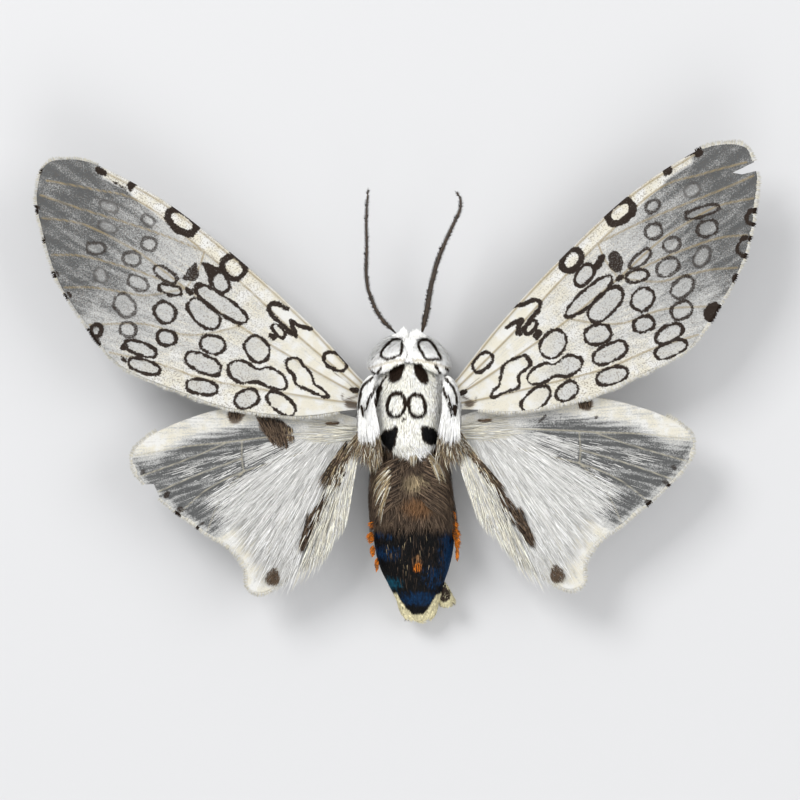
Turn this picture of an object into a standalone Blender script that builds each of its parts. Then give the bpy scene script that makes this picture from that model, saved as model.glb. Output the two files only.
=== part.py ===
"""Giant leopard moth: a spread, dried museum specimen, life size.

Frame: +Z up, +Y towards the head, +X to the right of the moth seen from above.
The origin is on the floor, under the middle of the thorax.
Sizes below are in millimetres. The meshes are made in metres.
"""

import math
import random

import bmesh
import bpy
from mathutils import Vector
from mathutils.geometry import delaunay_2d_cdt

MM = 0.001
GAP = 0.3  # between neighbouring nodes
FLOOR = 0.0

# Wings
WING_THICKNESS = 0.5
WING_ROOT_HEIGHT = 6.1  # middle of the forewing's thickness at the body's centre line
WING_RISE_PER_MM = 0.062  # upward slope towards the tips, about 3.5 degrees
WING_SAG = 0.35  # shallow curl of the sheet from front to back
WING_SAG_LENGTH = 34.0
HINDWING_DROP = 1.1  # hindwing below forewing
VEIN_RISE = 0.22
VEIN_FOOT = 0.42
VEIN_STEP = 2.0
OUTLINE_STEP = 1.5
FILL_STEP = 3.4
FILL_REACH = 33.0  # the inner points fill a square this far from the root
MERGE_DISTANCE = 0.16

# Outlines run from the root along the leading edge to the tip, then back along the outer and trailing edges.
FOREWING_EDGE = [
    (-2.6, -0.6), (-0.7, 0.9), (4.3, 6.3), (10.7, 12.2), (19.2, 19.0), (26.8, 23.15), (30.4, 23.7),
    (32.2, 23.0), (32.9, 20.6), (32.7, 17.6), (30.8, 11.2), (27.6, 6.1), (25.4, 3.2),
    (23.0, 1.4), (18.0, -0.6), (13.0, -2.3), (6.1, -3.15), (0.7, -2.6), (-2.6, -2.3),
]
FOREWING_VEINS = [
    [(-1.6, -0.9), (5.5, 5.1), (10.7, 10.0), (15.5, 14.1), (22.2, 19.3), (27.1, 20.6), (32.0, 21.5)],
    [(15.5, 14.1), (20.0, 15.9), (24.3, 17.3), (29.5, 18.9), (32.6, 20.0)],
    [(17.4, 10.2), (21.6, 13.5), (24.5, 15.2), (28.4, 17.0), (32.4, 17.6)],
    [(17.4, 10.2), (20.7, 11.4), (23.6, 12.4), (28.2, 13.6), (31.4, 13.7)],
    [(17.4, 10.2), (21.5, 9.5), (23.8, 9.8), (27.1, 10.3), (30.1, 10.3)],
    [(11.8, 6.3), (14.7, 5.6), (17.7, 5.4), (21.9, 6.5), (27.5, 6.4)],
    [(-1.6, -1.3), (1.3, 0.1), (6.5, 3.1), (11.8, 6.3), (17.4, 10.2)],
    [(17.4, 10.2), (16.1, 12.3), (15.5, 14.1)],
    [(-1.6, -1.9), (2.3, -1.5), (8.7, -0.5), (15.4, 0.7), (20.5, 2.4), (25.4, 3.5)],
]
HINDWING_EDGE = [
    (-2.4, 0.9), (-0.7, 1.4), (3.0, 2.3), (8.0, 2.9), (12.6, 2.35), (17.5, 0.84), (21.0, -0.95),
    (22.35, -2.7), (21.8, -4.8), (19.2, -7.4), (15.3, -10.3), (11.8, -12.7), (10.5, -14.6), (10.3, -16.5),
    (8.9, -17.2), (7.2, -16.4), (4.6, -13.9), (2.7, -11.4), (1.5, -8.8), (0.6, -6.0), (-0.7, -3.0),
    (-2.2, -1.6),
]
HINDWING_VEINS = [
    [(-1.4, 0.2), (8.8, -0.84), (12.4, -1.3), (17.2, -1.8), (22.1, -2.7)],
    [(12.4, -1.3), (16.4, -3.0), (21.6, -4.9)],
    [(10.9, -3.0), (15.5, -4.7), (19.9, -6.6)],
    [(10.9, -1.15), (10.9, -3.0), (10.7, -4.4)],
    [(-1.4, -0.5), (1.0, -1.2), (6.4, -3.05), (10.7, -4.4), (14.3, -6.1), (17.5, -8.8)],
    [(10.7, -4.4), (13.0, -7.0), (14.5, -10.6)],
    [(-1.2, -1.2), (2.5, -4.6), (6.5, -9.8), (9.4, -15.6)],
]
# Root point on the body (x, y), turn in degrees that raises the wing, and size against the outlines above.
FOREWINGS = {"left": ((-6.0, 2.53), 0.0, 1.0), "right": ((5.79, 2.53), 4.5, 0.98)}
HINDWINGS = {"left": ((-6.74, -2.1), 0.0, 1.0), "right": ((6.68, -1.9), 4.0, 1.03)}

# Body rings: y, centre x, half width, underside, top
THORAX = [
    (6.7, 0.0, 0.9, 4.0, 6.3), (6.3, 0.0, 2.0, 2.4, 7.3), (5.2, 0.0, 3.1, 0.7, 8.3),
    (3.2, 0.0, 3.9, -0.4, 9.1), (0.6, 0.0, 4.15, -0.7, 9.5), (-1.8, 0.05, 4.0, -0.6, 9.3),
    (-3.6, 0.1, 3.3, 0.2, 8.6), (-4.6, 0.15, 2.0, 1.6, 7.6), (-4.95, 0.15, 0.9, 3.2, 6.4),
]
ABDOMEN = [
    (-2.9, 0.1, 2.4, 1.8, 6.4), (-4.4, 0.12, 3.5, 0.7, 7.2), (-6.4, 0.15, 4.05, -0.2, 7.5),
    (-9.0, 0.2, 4.25, -0.5, 7.6), (-11.6, 0.45, 4.4, -0.6, 7.5), (-14.2, 0.55, 4.4, -0.5, 7.1),
    (-16.6, 0.6, 3.9, -0.3, 6.3), (-18.6, 0.75, 3.1, 0.3, 5.4), (-20.2, 1.0, 2.3, 1.0, 4.4),
    (-21.4, 1.1, 1.9, 1.4, 3.7), (-22.2, 1.1, 1.2, 1.7, 3.1), (-22.6, 1.05, 0.5, 2.0, 2.7),
]
ABDOMEN_CUTS = (-12.2, -19.2)
ABDOMEN_RING_STEP = 0.45
HEAD = [
    (8.75, 0.0, 0.8, 5.0, 6.6), (8.3, 0.0, 1.5, 4.0, 7.2), (7.6, 0.0, 1.85, 3.2, 7.5),
    (6.9, 0.0, 1.9, 2.9, 7.4), (6.2, 0.0, 1.5, 3.3, 6.9), (5.9, 0.0, 0.8, 4.2, 6.0),
]
HEAD_SIDES = 16
HEAD_RING_STEP = 0.5
BODY_SIDES = 20
SEGMENT_LENGTH = 2.25
SEGMENT_STEP = 0.22  # how far each ring of the abdomen stands over the next

# Hair in flat tapered locks: rows along the abdomen's base, and fans elsewhere
SEED = 7
LOCK_HALF_WIDTHS = (0.6, 0.72, 0.5, 0.1)
LOCK_HALF_THICKNESS = 0.19
LOCK_SIDES = 4
LOCK_LIFTS = (-0.45, 0.22, 0.5, 0.56)  # over the body, from the sunk root to the tip
HAIR_ROWS = (-5.7, -7.2, -8.7, -10.2)
HAIR_ANGLES = (-8.0, 188.0)
HAIR_PER_ROW = 11
HAIR_LENGTH = 3.7
# Orange tufts: angle round the body, y of each root
SIDE_TUFTS = ((172.0, (-13.0, -14.4, -15.8)), (8.0, (-12.9, -14.5, -15.9)))
SIDE_TUFT_LENGTH = 1.7
SIDE_TUFT_HALF_WIDTHS = (0.4, 0.45, 0.35, 0.12)
SIDE_TUFT_LIFTS = (-0.45, 0.25, 0.4, 0.3)
# Fans: the first lock's points, the last lock's points, the number of locks and their half widths
TAIL_FAN = (
    [(0.25, -20.6, 3.2), (-0.2, -21.6, 3.1), (-0.35, -22.3, 2.8), (-0.1, -22.4, 2.5)],
    [(1.85, -20.6, 3.2), (2.4, -21.6, 3.1), (2.55, -22.3, 2.8), (2.3, -22.4, 2.5)],
    7, (0.45, 0.5, 0.4, 0.12),
)
CROWN_FAN = (
    [(0.3, 7.7, 6.7), (0.32, 8.2, 6.95), (0.38, 8.6, 6.95), (0.5, 9.0, 6.6)],
    [(1.1, 7.6, 6.6), (1.1, 8.1, 6.8), (1.0, 8.5, 6.8), (0.85, 8.8, 6.45)],
    3, (0.4, 0.45, 0.36, 0.16),
)
SHOULDER_FAN = (
    [(3.95, -1.4, 7.95), (3.9, -2.3, 7.75), (3.85, -3.0, 7.5), (3.8, -3.65, 7.2)],
    [(4.85, -1.4, 7.45), (5.0, -2.3, 7.35), (5.05, -3.0, 7.15), (5.1, -3.65, 7.0)],
    5, (0.36, 0.36, 0.26, 0.08),
)
INNER_ROOTS = [(-0.9, -1.8), (0.6, -5.0), (2.0, -8.4), (3.9, -11.6), (6.1, -14.3), (8.4, -16.2)]
INNER_TIPS = [
    (-1.5, -2.4), (-1.3, -4.3), (-0.8, -6.9), (-0.35, -9.4), (0.5, -11.7), (1.7, -13.5), (3.4, -15.1),
    (5.0, -16.2), (6.8, -17.1), (8.7, -17.3),
]
INNER_HAIR_LOCKS = 15
INNER_HAIR_REACH = 0.24  # how far along the edge each lock's tip lies past its root
INNER_HAIR_HALF_WIDTHS = (0.45, 0.62, 0.5, 0.12)
INNER_HAIR_LIFTS = (0.0, 0.05, 0.1, 0.05)
INNER_HAIR_BOW = 0.06
TOP_HAIR = ((0.2, -2.4), (2.0, -2.9), (1.6, -9.0), (9.4, -11.6))  # first and last root, first and last tip
TOP_HAIR_LOCKS = 8
TOP_HAIR_HALF_WIDTHS = (0.3, 0.42, 0.35, 0.1)
TOP_HAIR_LIFTS = (0.05, 0.3, 0.3, 0.22)
WING_HAIR_PARTS = (0.0, 0.33, 0.67, 1.0)
WING_HAIR_HALF_THICKNESS = 0.15

EYE_RADIUS = 0.95
EYE_PLACE = (2.0, 7.35, 4.9)
# Antennae run from the crown forwards: x, y, height; radius falls from root to tip.
ANTENNAE = {
    "left": [
        (-1.35, 8.05, 6.2), (-2.9, 9.6, 6.6), (-3.8, 11.3, 6.8), (-4.45, 13.6, 7.0), (-4.45, 17.6, 7.3),
        (-4.5, 20.0, 7.4), (-4.3, 23.4, 7.5),
    ],
    "right": [
        (1.35, 8.05, 6.2), (1.9, 10.6, 6.6), (2.3, 13.0, 6.8), (3.2, 16.2, 7.0), (4.6, 19.4, 7.3),
        (5.4, 21.2, 7.4), (5.3, 22.4, 7.4), (4.8, 23.05, 7.5),
    ],
}
ANTENNA_RADII = (0.32, 0.2)
PALP = [(0.55, 7.9, 4.3), (0.7, 8.5, 3.9), (0.8, 9.2, 4.0)]
PALP_RADII = (0.34, 0.24)

# Collar and shoulder plates on the right side: path, half widths along it, and tilt about it in degrees
PLATE_HALF_THICKNESS = 0.42
COLLAR = [(0.3, 6.6, 8.15), (1.8, 6.2, 8.1), (3.1, 5.2, 7.8), (3.9, 4.4, 7.3)]
COLLAR_HALF_WIDTHS = (1.5, 1.75, 1.4, 0.6)
COLLAR_TILT = 32.0
TEGULA = [(3.9, 3.7, 7.9), (4.3, 2.4, 8.1), (4.45, 0.8, 8.15), (4.45, -1.0, 8.0), (4.4, -2.7, 7.7)]
TEGULA_HALF_WIDTHS = (0.5, 1.0, 1.15, 1.1, 0.7)
TEGULA_TILT = 38.0

# Legs on the right side: joints from coxa to claw, with a radius at each
LEGS = {
    "fore": [
        (0.9, 4.0, 1.6), (2.4, 5.6, 2.1), (3.0, 6.5, 1.7), (2.3, 7.4, 0.7), (1.5, 7.9, 0.3), (0.7, 8.2, 0.26),
    ],
    "mid": [
        (1.6, 1.6, 1.5), (3.4, 2.3, 2.2), (4.6, 2.2, 1.9), (4.8, 0.4, 1.1), (4.8, -1.2, 0.45),
        (4.7, -3.3, 0.26),
    ],
    "hind": [
        (1.5, -1.7, 1.5), (3.0, -2.8, 2.1), (3.6, -4.0, 1.6), (3.7, -5.8, 0.9), (3.7, -7.8, 0.42),
        (3.6, -11.4, 0.26),
    ],
}
LEG_RADII = (0.8, 0.7, 0.55, 0.48, 0.32, 0.26)

# The clasper lobes beside the tail
CLASPERS = {
    "right": [(2.9, -18.2, 3.3), (3.8, -18.6, 3.2), (4.6, -19.5, 3.0), (4.0, -20.2, 2.9)],
    "left": [(-1.6, -17.9, 2.7), (-2.3, -18.4, 2.6), (-2.75, -19.2, 2.5), (-2.3, -20.0, 2.4)],
}
CLASPER_RADII = (0.35, 0.72, 0.6, 0.35)

COLOURS = {
    "cream_scales": ((0.80, 0.77, 0.68, 1.0), 0.85),
    "wing_membrane": ((0.62, 0.62, 0.60, 1.0), 0.6),
    "brown_hair": ((0.10, 0.07, 0.05, 1.0), 0.9),
    "orange_hair": ((0.70, 0.25, 0.05, 1.0), 0.85),
    "blue_black_scales": ((0.01, 0.02, 0.05, 1.0), 0.35),
    "dark_horn": ((0.05, 0.035, 0.025, 1.0), 0.4),
    "eye_black": ((0.01, 0.01, 0.01, 1.0), 0.15),
}


def catmull(points, step):
    """Points about one step apart on a smooth curve through the given points."""
    pts = [Vector(p) for p in points]
    pts = [2 * pts[0] - pts[1], *pts, 2 * pts[-1] - pts[-2]]
    out = []
    for a, b, c, d in zip(pts, pts[1:], pts[2:], pts[3:]):
        parts = max(1, round((c - b).length / step))
        for k in range(parts):
            t = k / parts
            bend = (2 * a - 5 * b + 4 * c - d) * t * t + (3 * b - a - 3 * c + d) * t**3
            out.append(b + 0.5 * ((c - a) * t + bend))
    out.append(pts[-2].copy())
    return out


def value_at(values, t):
    """A value from an even list of them, at t from 0 to 1."""
    place = t * (len(values) - 1)
    k = min(int(place), len(values) - 2)
    return values[k] + (values[k + 1] - values[k]) * (place - k)


def material(name):
    """The node's Principled material, by its colour name."""
    found = bpy.data.materials.get(name)
    if found:
        return found
    colour, roughness = COLOURS[name]
    made = bpy.data.materials.new(name)
    made.use_nodes = True
    shader = made.node_tree.nodes["Principled BSDF"]
    shader.inputs["Base Color"].default_value = colour
    shader.inputs["Roughness"].default_value = roughness
    shader.inputs["Metallic"].default_value = 0.0
    return made


def new_object(name, bm, colour):
    """An object from a bmesh in millimetres, closed and facing out."""
    bmesh.ops.recalc_face_normals(bm, faces=bm.faces)
    bmesh.ops.triangulate(bm, faces=bm.faces)
    bmesh.ops.scale(bm, vec=(MM, MM, MM), verts=bm.verts)
    mesh = bpy.data.meshes.new(name)
    bm.to_mesh(mesh)
    bm.free()
    mesh.shade_smooth()
    made = bpy.data.objects.new(name, mesh)
    made.data.materials.append(material(colour))
    bpy.context.scene.collection.objects.link(made)
    return made


def loft(bm, rings):
    """One closed skin through rings of points, with flat end caps."""
    loops, ends = [], []
    for ring in rings:
        verts = [bm.verts.new(p) for p in ring]
        loops.append([bm.edges.new((verts[k - 1], verts[k])) for k in range(len(verts))])
        ends.append(verts)
    for a, b in zip(loops, loops[1:]):
        bmesh.ops.bridge_loops(bm, edges=a + b)
    bm.faces.new(ends[0])
    bm.faces.new(ends[-1])


def body_rings(stations, step=0.9, sides=BODY_SIDES, segment_step=0.0):
    """Upright oval rings along the body, from rows of y, centre x, half width, underside and top."""
    rings = []
    for y, x, half, low, high in catmull(stations, step):
        grow = segment_step * ((-y / SEGMENT_LENGTH) % 1.0 - 0.5)
        half, low, high = half + grow, low - grow, high + grow
        rings.append([
            (x + half * math.cos(a), y, (low + high) / 2 + (high - low) / 2 * math.sin(a))
            for a in (2 * math.pi * k / sides for k in range(sides))
        ])
    return rings


def tube_rings(path, radii, step, sides, half_height=math.inf, tilt=0.0, over=(0, 0, 1)):
    """Rings across a path, no thicker than twice half_height. tilt turns the width about the path."""
    points = catmull(path, step)
    rings = []
    for k, p in enumerate(points):
        along = (points[min(k + 1, len(points) - 1)] - points[max(k - 1, 0)]).normalized()
        side = along.cross(Vector(over)).normalized()
        up = side.cross(along)
        wide = side * math.cos(tilt) - up * math.sin(tilt)
        high = side * math.sin(tilt) + up * math.cos(tilt)
        radius = value_at(radii, k / (len(points) - 1))
        thick = min(radius, half_height)
        rings.append([
            p + wide * radius * math.cos(a) + high * thick * math.sin(a)
            for a in (2 * math.pi * j / sides for j in range(sides))
        ])
    return rings


def ring_at(stations, y):
    """Centre x, half width, underside and top of the body at one place along it."""
    rows = catmull(stations, 0.3)
    for a, b in zip(rows, rows[1:]):
        if b[0] <= y <= a[0]:
            t = (a[0] - y) / max(a[0] - b[0], 1e-6)
            return [u + (v - u) * t for u, v in zip(a, b)][1:]
    raise ValueError(f"no ring at {y}")


def body_place(stations, y, degrees, lift):
    """A point over the body's side at an angle round it, and the way that side faces."""
    x, half, low, high = ring_at(stations, y)
    tall = (high - low) / 2
    cos, sin = math.cos(math.radians(degrees)), math.sin(math.radians(degrees))
    facing = Vector((cos * tall, 0.0, sin * half)).normalized()
    return Vector((x + half * cos, y, (low + high) / 2 + tall * sin)) + facing * lift, facing


def cut_flat(bm, height=FLOOR):
    """Cuts all below a height away and closes the flat face that this leaves."""
    geometry = bm.verts[:] + bm.edges[:] + bm.faces[:]
    bmesh.ops.bisect_plane(bm, geom=geometry, plane_co=(0, 0, height), plane_no=(0, 0, 1), clear_inner=True)
    bmesh.ops.holes_fill(bm, edges=[e for e in bm.edges if e.is_boundary], sides=0)


def cut_between(bm, front, back):
    """Keeps only what lies between two planes across the body, and closes the cut ends."""
    for place, normal in ((front, (0, -1, 0)), (back, (0, 1, 0))):
        if math.isinf(place):
            continue
        geometry = bm.verts[:] + bm.edges[:] + bm.faces[:]
        bmesh.ops.bisect_plane(bm, geom=geometry, plane_co=(0, place, 0), plane_no=normal, clear_inner=True)
        bmesh.ops.holes_fill(bm, edges=[e for e in bm.edges if e.is_boundary], sides=0)


def boolean(target, others, operation):
    """Applies one Boolean of the target with all the others together, which then go."""
    group = bpy.data.collections.new("operands")
    bpy.context.scene.collection.children.link(group)
    for other in others:
        group.objects.link(other)
    modifier = target.modifiers.new(operation.lower(), "BOOLEAN")
    modifier.operation = operation
    modifier.operand_type = "COLLECTION"
    modifier.collection = group
    modifier.solver = "EXACT"
    graph = bpy.context.evaluated_depsgraph_get()
    graph.update()
    result = bpy.data.meshes.new_from_object(target.evaluated_get(graph))
    target.modifiers.remove(modifier)
    target.data = result
    for other in others:
        bpy.data.objects.remove(other)
    bpy.data.collections.remove(group)
    keep_largest(target)


def keep_largest(target):
    """Leaves the node's largest closed surface only."""
    bm = bmesh.new()
    bm.from_mesh(target.data)
    left, islands = set(bm.faces), []
    while left:
        stack, island = [left.pop()], []
        while stack:
            face = stack.pop()
            island.append(face)
            for edge in face.edges:
                for near in edge.link_faces:
                    if near in left:
                        left.discard(near)
                        stack.append(near)
        islands.append(island)
    islands.sort(key=lambda faces: sum(f.calc_area() for f in faces))
    scraps = [f for island in islands[:-1] for f in island]
    if scraps:
        bmesh.ops.delete(bm, geom=scraps, context="FACES")
    bm.to_mesh(target.data)
    bm.free()


def swollen(source, by=GAP):
    """A copy of an object's shape, larger all round by a distance in millimetres."""
    bm = bmesh.new()
    bm.from_mesh(source.data)
    bmesh.ops.triangulate(bm, faces=bm.faces)
    bm.normal_update()
    for vert, place in [(v, v.co + v.normal * v.calc_shell_factor() * by * MM) for v in bm.verts]:
        vert.co = place
    mesh = bpy.data.meshes.new("swollen")
    bm.to_mesh(mesh)
    bm.free()
    made = bpy.data.objects.new("swollen", mesh)
    bpy.context.scene.collection.objects.link(made)
    return made


def cut_clear(target, *neighbours):
    """Cuts the target back so that it faces its neighbours across the gap."""
    for neighbour in neighbours:
        boolean(target, [swollen(neighbour)], "DIFFERENCE")


def wing_height(x, y):
    """Height of the wing sheet over the floor, the same rule for all four wings."""
    sag = WING_SAG * math.cos(2 * math.pi * y / WING_SAG_LENGTH)
    return WING_ROOT_HEIGHT + WING_RISE_PER_MM * abs(x) - sag


def wing_point(place, u, v, drop, lift=0.0):
    """A point on a wing's middle sheet, from its distance outwards and forwards of the root."""
    (root_x, root_y), turn, size = place
    side = -1 if root_x < 0 else 1
    cos, sin = math.cos(math.radians(turn)), math.sin(math.radians(turn))
    x = root_x + side * size * (cos * u - sin * v)
    y = root_y + size * (sin * u + cos * v)
    return Vector((x, y, wing_height(x, y) - drop + lift))


def distance_to_line(p, line):
    """Shortest distance in the plane from a point to a broken line."""
    best = math.inf
    for a, b in zip(line, line[1:]):
        run = b - a
        t = max(0.0, min(1.0, (p - a).dot(run) / run.length_squared))
        best = min(best, (p - a - run * t).length)
    return best


def wing(name, place, outline, veins, drop):
    """A closed wing sheet whose top is raised along the veins, with both faces split alike."""
    edge = catmull(outline, OUTLINE_STEP)
    lines = [catmull(vein, VEIN_STEP) for vein in veins]
    points = list(edge)
    ridges = []
    for number, line in enumerate(lines):
        others = lines[:number] + lines[number + 1:]
        ridges += [(k, k + 1) for k in range(len(points), len(points) + len(line) - 1)]
        points += line
        for side in (-1, 1):
            last = None
            for k, crest in enumerate(line):
                along = line[min(k + 1, len(line) - 1)] - line[max(k - 1, 0)]
                foot = crest + Vector((-along.y, along.x)).normalized() * VEIN_FOOT * side
                clear = all(distance_to_line(foot, other) > VEIN_FOOT for other in others)
                if not clear or distance_to_line(foot, edge + edge[:1]) < VEIN_FOOT:
                    last = None
                    continue
                if last is not None:
                    ridges.append((last, len(points)))
                last = len(points)
                points.append(foot)
    rows = int(FILL_REACH / FILL_STEP)
    for i in range(-1, rows + 1):
        for j in range(-rows, rows + 1):
            p = Vector((i * FILL_STEP + (j % 2) * FILL_STEP / 2, j * FILL_STEP))
            if all(distance_to_line(p, line) > FILL_STEP / 3 for line in [*lines, edge + edge[:1]]):
                points.append(p)
    rim = list(range(len(edge)))
    flat = delaunay_2d_cdt(points, ridges, [rim], 1, MERGE_DISTANCE)
    bm = bmesh.new()
    top, low = [], []
    for p in flat[0]:
        near = min(distance_to_line(p, line) for line in lines)
        lift = WING_THICKNESS / 2 + VEIN_RISE * max(0.0, 1.0 - near / VEIN_FOOT)
        top.append(bm.verts.new(wing_point(place, p.x, p.y, drop, lift)))
        low.append(bm.verts.new(wing_point(place, p.x, p.y, drop, -WING_THICKNESS / 2)))
    shared = {}
    for tri in flat[2]:
        bm.faces.new([top[k] for k in tri])
        bm.faces.new([low[k] for k in reversed(tri)])
        for k in range(len(tri)):
            pair = (tri[k - 1], tri[k])
            shared.setdefault(tuple(sorted(pair)), []).append(pair)
    for pairs in shared.values():
        if len(pairs) == 1:
            a, b = pairs[0]
            bm.faces.new((top[b], top[a], low[a], low[b]))
    loose = [v for v in bm.verts if not v.link_faces]
    bmesh.ops.delete(bm, geom=loose, context="VERTS")
    return new_object(name, bm, "wing_membrane")


def lock(points, facing, half_widths, half_thickness, colour):
    """One flat tapered lock of hair along its own few points."""
    bm = bmesh.new()
    loft(bm, tube_rings(points, half_widths, math.inf, LOCK_SIDES, half_thickness, over=facing))
    return new_object("lock", bm, colour)


def lock_along_body(start, length, angle, drift, lifts, half_widths, colour):
    """A lock that lies back along the abdomen from a sunk root."""
    points = []
    for k, lift in enumerate(lifts):
        t = k / (len(lifts) - 1)
        place, facing = body_place(ABDOMEN, start - length * t, angle + drift * t, lift)
        points.append(place)
        if k == 1:
            over = facing
    return lock(points, over, half_widths, LOCK_HALF_THICKNESS, colour)


def hair_coat(base):
    """The long brown hair over the base of the abdomen, in overlapping rows."""
    rng = random.Random(SEED)
    locks = []
    first, last = HAIR_ANGLES
    for row, start in enumerate(HAIR_ROWS):
        for k in range(HAIR_PER_ROW):
            angle = first + (last - first) * (k + 0.5 * (row % 2)) / (HAIR_PER_ROW - 0.5)
            length = HAIR_LENGTH * rng.uniform(0.85, 1.0)
            locks.append(lock_along_body(
                start, length, angle, rng.uniform(-5.0, 5.0), LOCK_LIFTS, LOCK_HALF_WIDTHS, "brown_hair",
            ))
    boolean(base, locks, "UNION")


def side_tufts(middle):
    """Orange tufts down both sides of the abdomen."""
    locks = []
    for angle, roots in SIDE_TUFTS:
        for y in roots:
            locks.append(lock_along_body(
                y, SIDE_TUFT_LENGTH, angle, 0.0, SIDE_TUFT_LIFTS, SIDE_TUFT_HALF_WIDTHS, "orange_hair",
            ))
    boolean(middle, locks, "UNION")


def fan(target, locks_between, side=1):
    """Fuses a fan of locks to its node, on the right or the left side."""
    first, last, count, half_widths = locks_between
    locks = []
    for k in range(count):
        t = k / (count - 1)
        points = mirrored([Vector(a).lerp(Vector(b), t) for a, b in zip(first, last)], side)
        locks.append(lock(points, (0, 0, 1), half_widths, LOCK_HALF_THICKNESS, "cream_scales"))
    boolean(target, locks, "UNION")


def wing_hair(sheet, place):
    """White hair along the inner edge of a hindwing and fanned over its base."""
    lines = []
    roots, tips = catmull(INNER_ROOTS, 0.5), catmull(INNER_TIPS, 0.5)
    for k in range(INNER_HAIR_LOCKS):
        t = k / (INNER_HAIR_LOCKS - 1) * (1.0 - INNER_HAIR_REACH)
        ends = value_at(roots, t), value_at(tips, t + INNER_HAIR_REACH)
        lines.append((*ends, INNER_HAIR_BOW, INNER_HAIR_LIFTS, INNER_HAIR_HALF_WIDTHS))
    first_root, last_root, first_tip, last_tip = [Vector(p) for p in TOP_HAIR]
    for k in range(TOP_HAIR_LOCKS):
        t = k / (TOP_HAIR_LOCKS - 1)
        ends = first_root.lerp(last_root, t), first_tip.lerp(last_tip, t)
        lines.append((*ends, 0.0, TOP_HAIR_LIFTS, TOP_HAIR_HALF_WIDTHS))
    locks = []
    for a, b, bow, lifts, half_widths in lines:
        points = []
        for part, lift in zip(WING_HAIR_PARTS, lifts):
            p = a.lerp(b, part) + Vector(((b - a).y, -(b - a).x)) * bow * math.sin(math.pi * part)
            points.append(wing_point(place, p.x, p.y, HINDWING_DROP, lift))
        locks.append(lock(points, (0, 0, 1), half_widths, WING_HAIR_HALF_THICKNESS, "cream_scales"))
    boolean(sheet, locks, "UNION")


def mirrored(points, side):
    """The same points on the left or the right side of the body."""
    return [(x * side, *rest) for x, *rest in points]


def thorax():
    """The thorax, with its flat belly on the floor."""
    bm = bmesh.new()
    loft(bm, body_rings(THORAX))
    cut_flat(bm)
    return new_object("thorax", bm, "cream_scales")


def abdomen():
    """The abdomen in three lengths, made whole and parted with thin cuts."""
    made = []
    first_cut, second_cut = ABDOMEN_CUTS
    for name, colour, front, back in (
        ("abdomen_base", "brown_hair", math.inf, first_cut),
        ("abdomen", "blue_black_scales", first_cut - GAP, second_cut),
        ("abdomen_end", "cream_scales", second_cut - GAP, -math.inf),
    ):
        bm = bmesh.new()
        loft(bm, body_rings(ABDOMEN, step=ABDOMEN_RING_STEP, segment_step=SEGMENT_STEP))
        cut_flat(bm)
        cut_between(bm, front, back)
        made.append(new_object(name, bm, colour))
    return made


def head():
    """The head capsule under its crown of scales."""
    bm = bmesh.new()
    loft(bm, body_rings(HEAD, step=HEAD_RING_STEP, sides=HEAD_SIDES))
    return new_object("head", bm, "cream_scales")


def eye(name, side):
    """One round eye at the side of the head."""
    bm = bmesh.new()
    bmesh.ops.create_icosphere(bm, subdivisions=2, radius=EYE_RADIUS)
    x, y, z = EYE_PLACE
    bmesh.ops.translate(bm, verts=bm.verts, vec=(side * x, y, z))
    return new_object(name, bm, "eye_black")


def tube(name, path, radii, colour, step=1.0, sides=8, half_height=math.inf, tilt=0.0, on_floor=False):
    """A tapered tube or plate along a path."""
    bm = bmesh.new()
    loft(bm, tube_rings(path, radii, step, sides, half_height, tilt))
    if on_floor:
        cut_flat(bm)
    return new_object(name, bm, colour)


def main():
    """Builds every node, then cuts each clear of what it grows from."""
    for old in list(bpy.data.objects):
        bpy.data.objects.remove(old)
    trunk = thorax()
    base, middle, end = abdomen()
    crown = head()
    cut_clear(base, trunk)
    cut_clear(crown, trunk)
    hips, plates, eyes = [], [], []
    for side_name, side in (("left", -1), ("right", 1)):
        for name, root in LEGS.items():
            leg = tube(f"{name}leg_{side_name}", mirrored(root, side), LEG_RADII, "dark_horn", on_floor=True)
            cut_clear(leg, trunk)
            hips.append(leg)
        antenna = tube(f"antenna_{side_name}", ANTENNAE[side_name], ANTENNA_RADII, "dark_horn", sides=6)
        palp = tube(f"palp_{side_name}", mirrored(PALP, side), PALP_RADII, "cream_scales", step=0.4, sides=6)
        for feeler in (antenna, palp):
            cut_clear(feeler, crown)
        clasper = tube(f"clasper_{side_name}", CLASPERS[side_name], CLASPER_RADII, "cream_scales", step=0.5)
        cut_clear(clasper, middle, end)
        forewing = wing(f"forewing_{side_name}", FOREWINGS[side_name], FOREWING_EDGE, FOREWING_VEINS, 0.0)
        hindwing = wing(
            f"hindwing_{side_name}", HINDWINGS[side_name], HINDWING_EDGE, HINDWING_VEINS, HINDWING_DROP,
        )
        cut_clear(forewing, trunk)
        cut_clear(hindwing, trunk, base)
        wing_hair(hindwing, HINDWINGS[side_name])
        for name, path, widths, tilt in (
            ("collar", COLLAR, COLLAR_HALF_WIDTHS, COLLAR_TILT),
            ("tegula", TEGULA, TEGULA_HALF_WIDTHS, TEGULA_TILT),
        ):
            plate = tube(
                f"{name}_{side_name}", mirrored(path, side), widths, "cream_scales", sides=12,
                half_height=PLATE_HALF_THICKNESS, tilt=-side * math.radians(tilt),
            )
            plates.append((plate, side))
        ball = eye(f"eye_{side_name}", side)
        cut_clear(ball, trunk)
        eyes.append(ball)
    for plate, side in plates:
        cut_clear(trunk, plate)
        cut_clear(crown, plate)
        if plate.name.startswith("tegula"):
            fan(plate, SHOULDER_FAN, side)
    for ball in eyes:
        cut_clear(crown, ball)
    for leg in hips:
        cut_clear(base, leg)
    for side in (-1, 1):
        fan(crown, CROWN_FAN, side)
    hair_coat(base)
    side_tufts(middle)
    fan(end, TAIL_FAN)


main()
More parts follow.
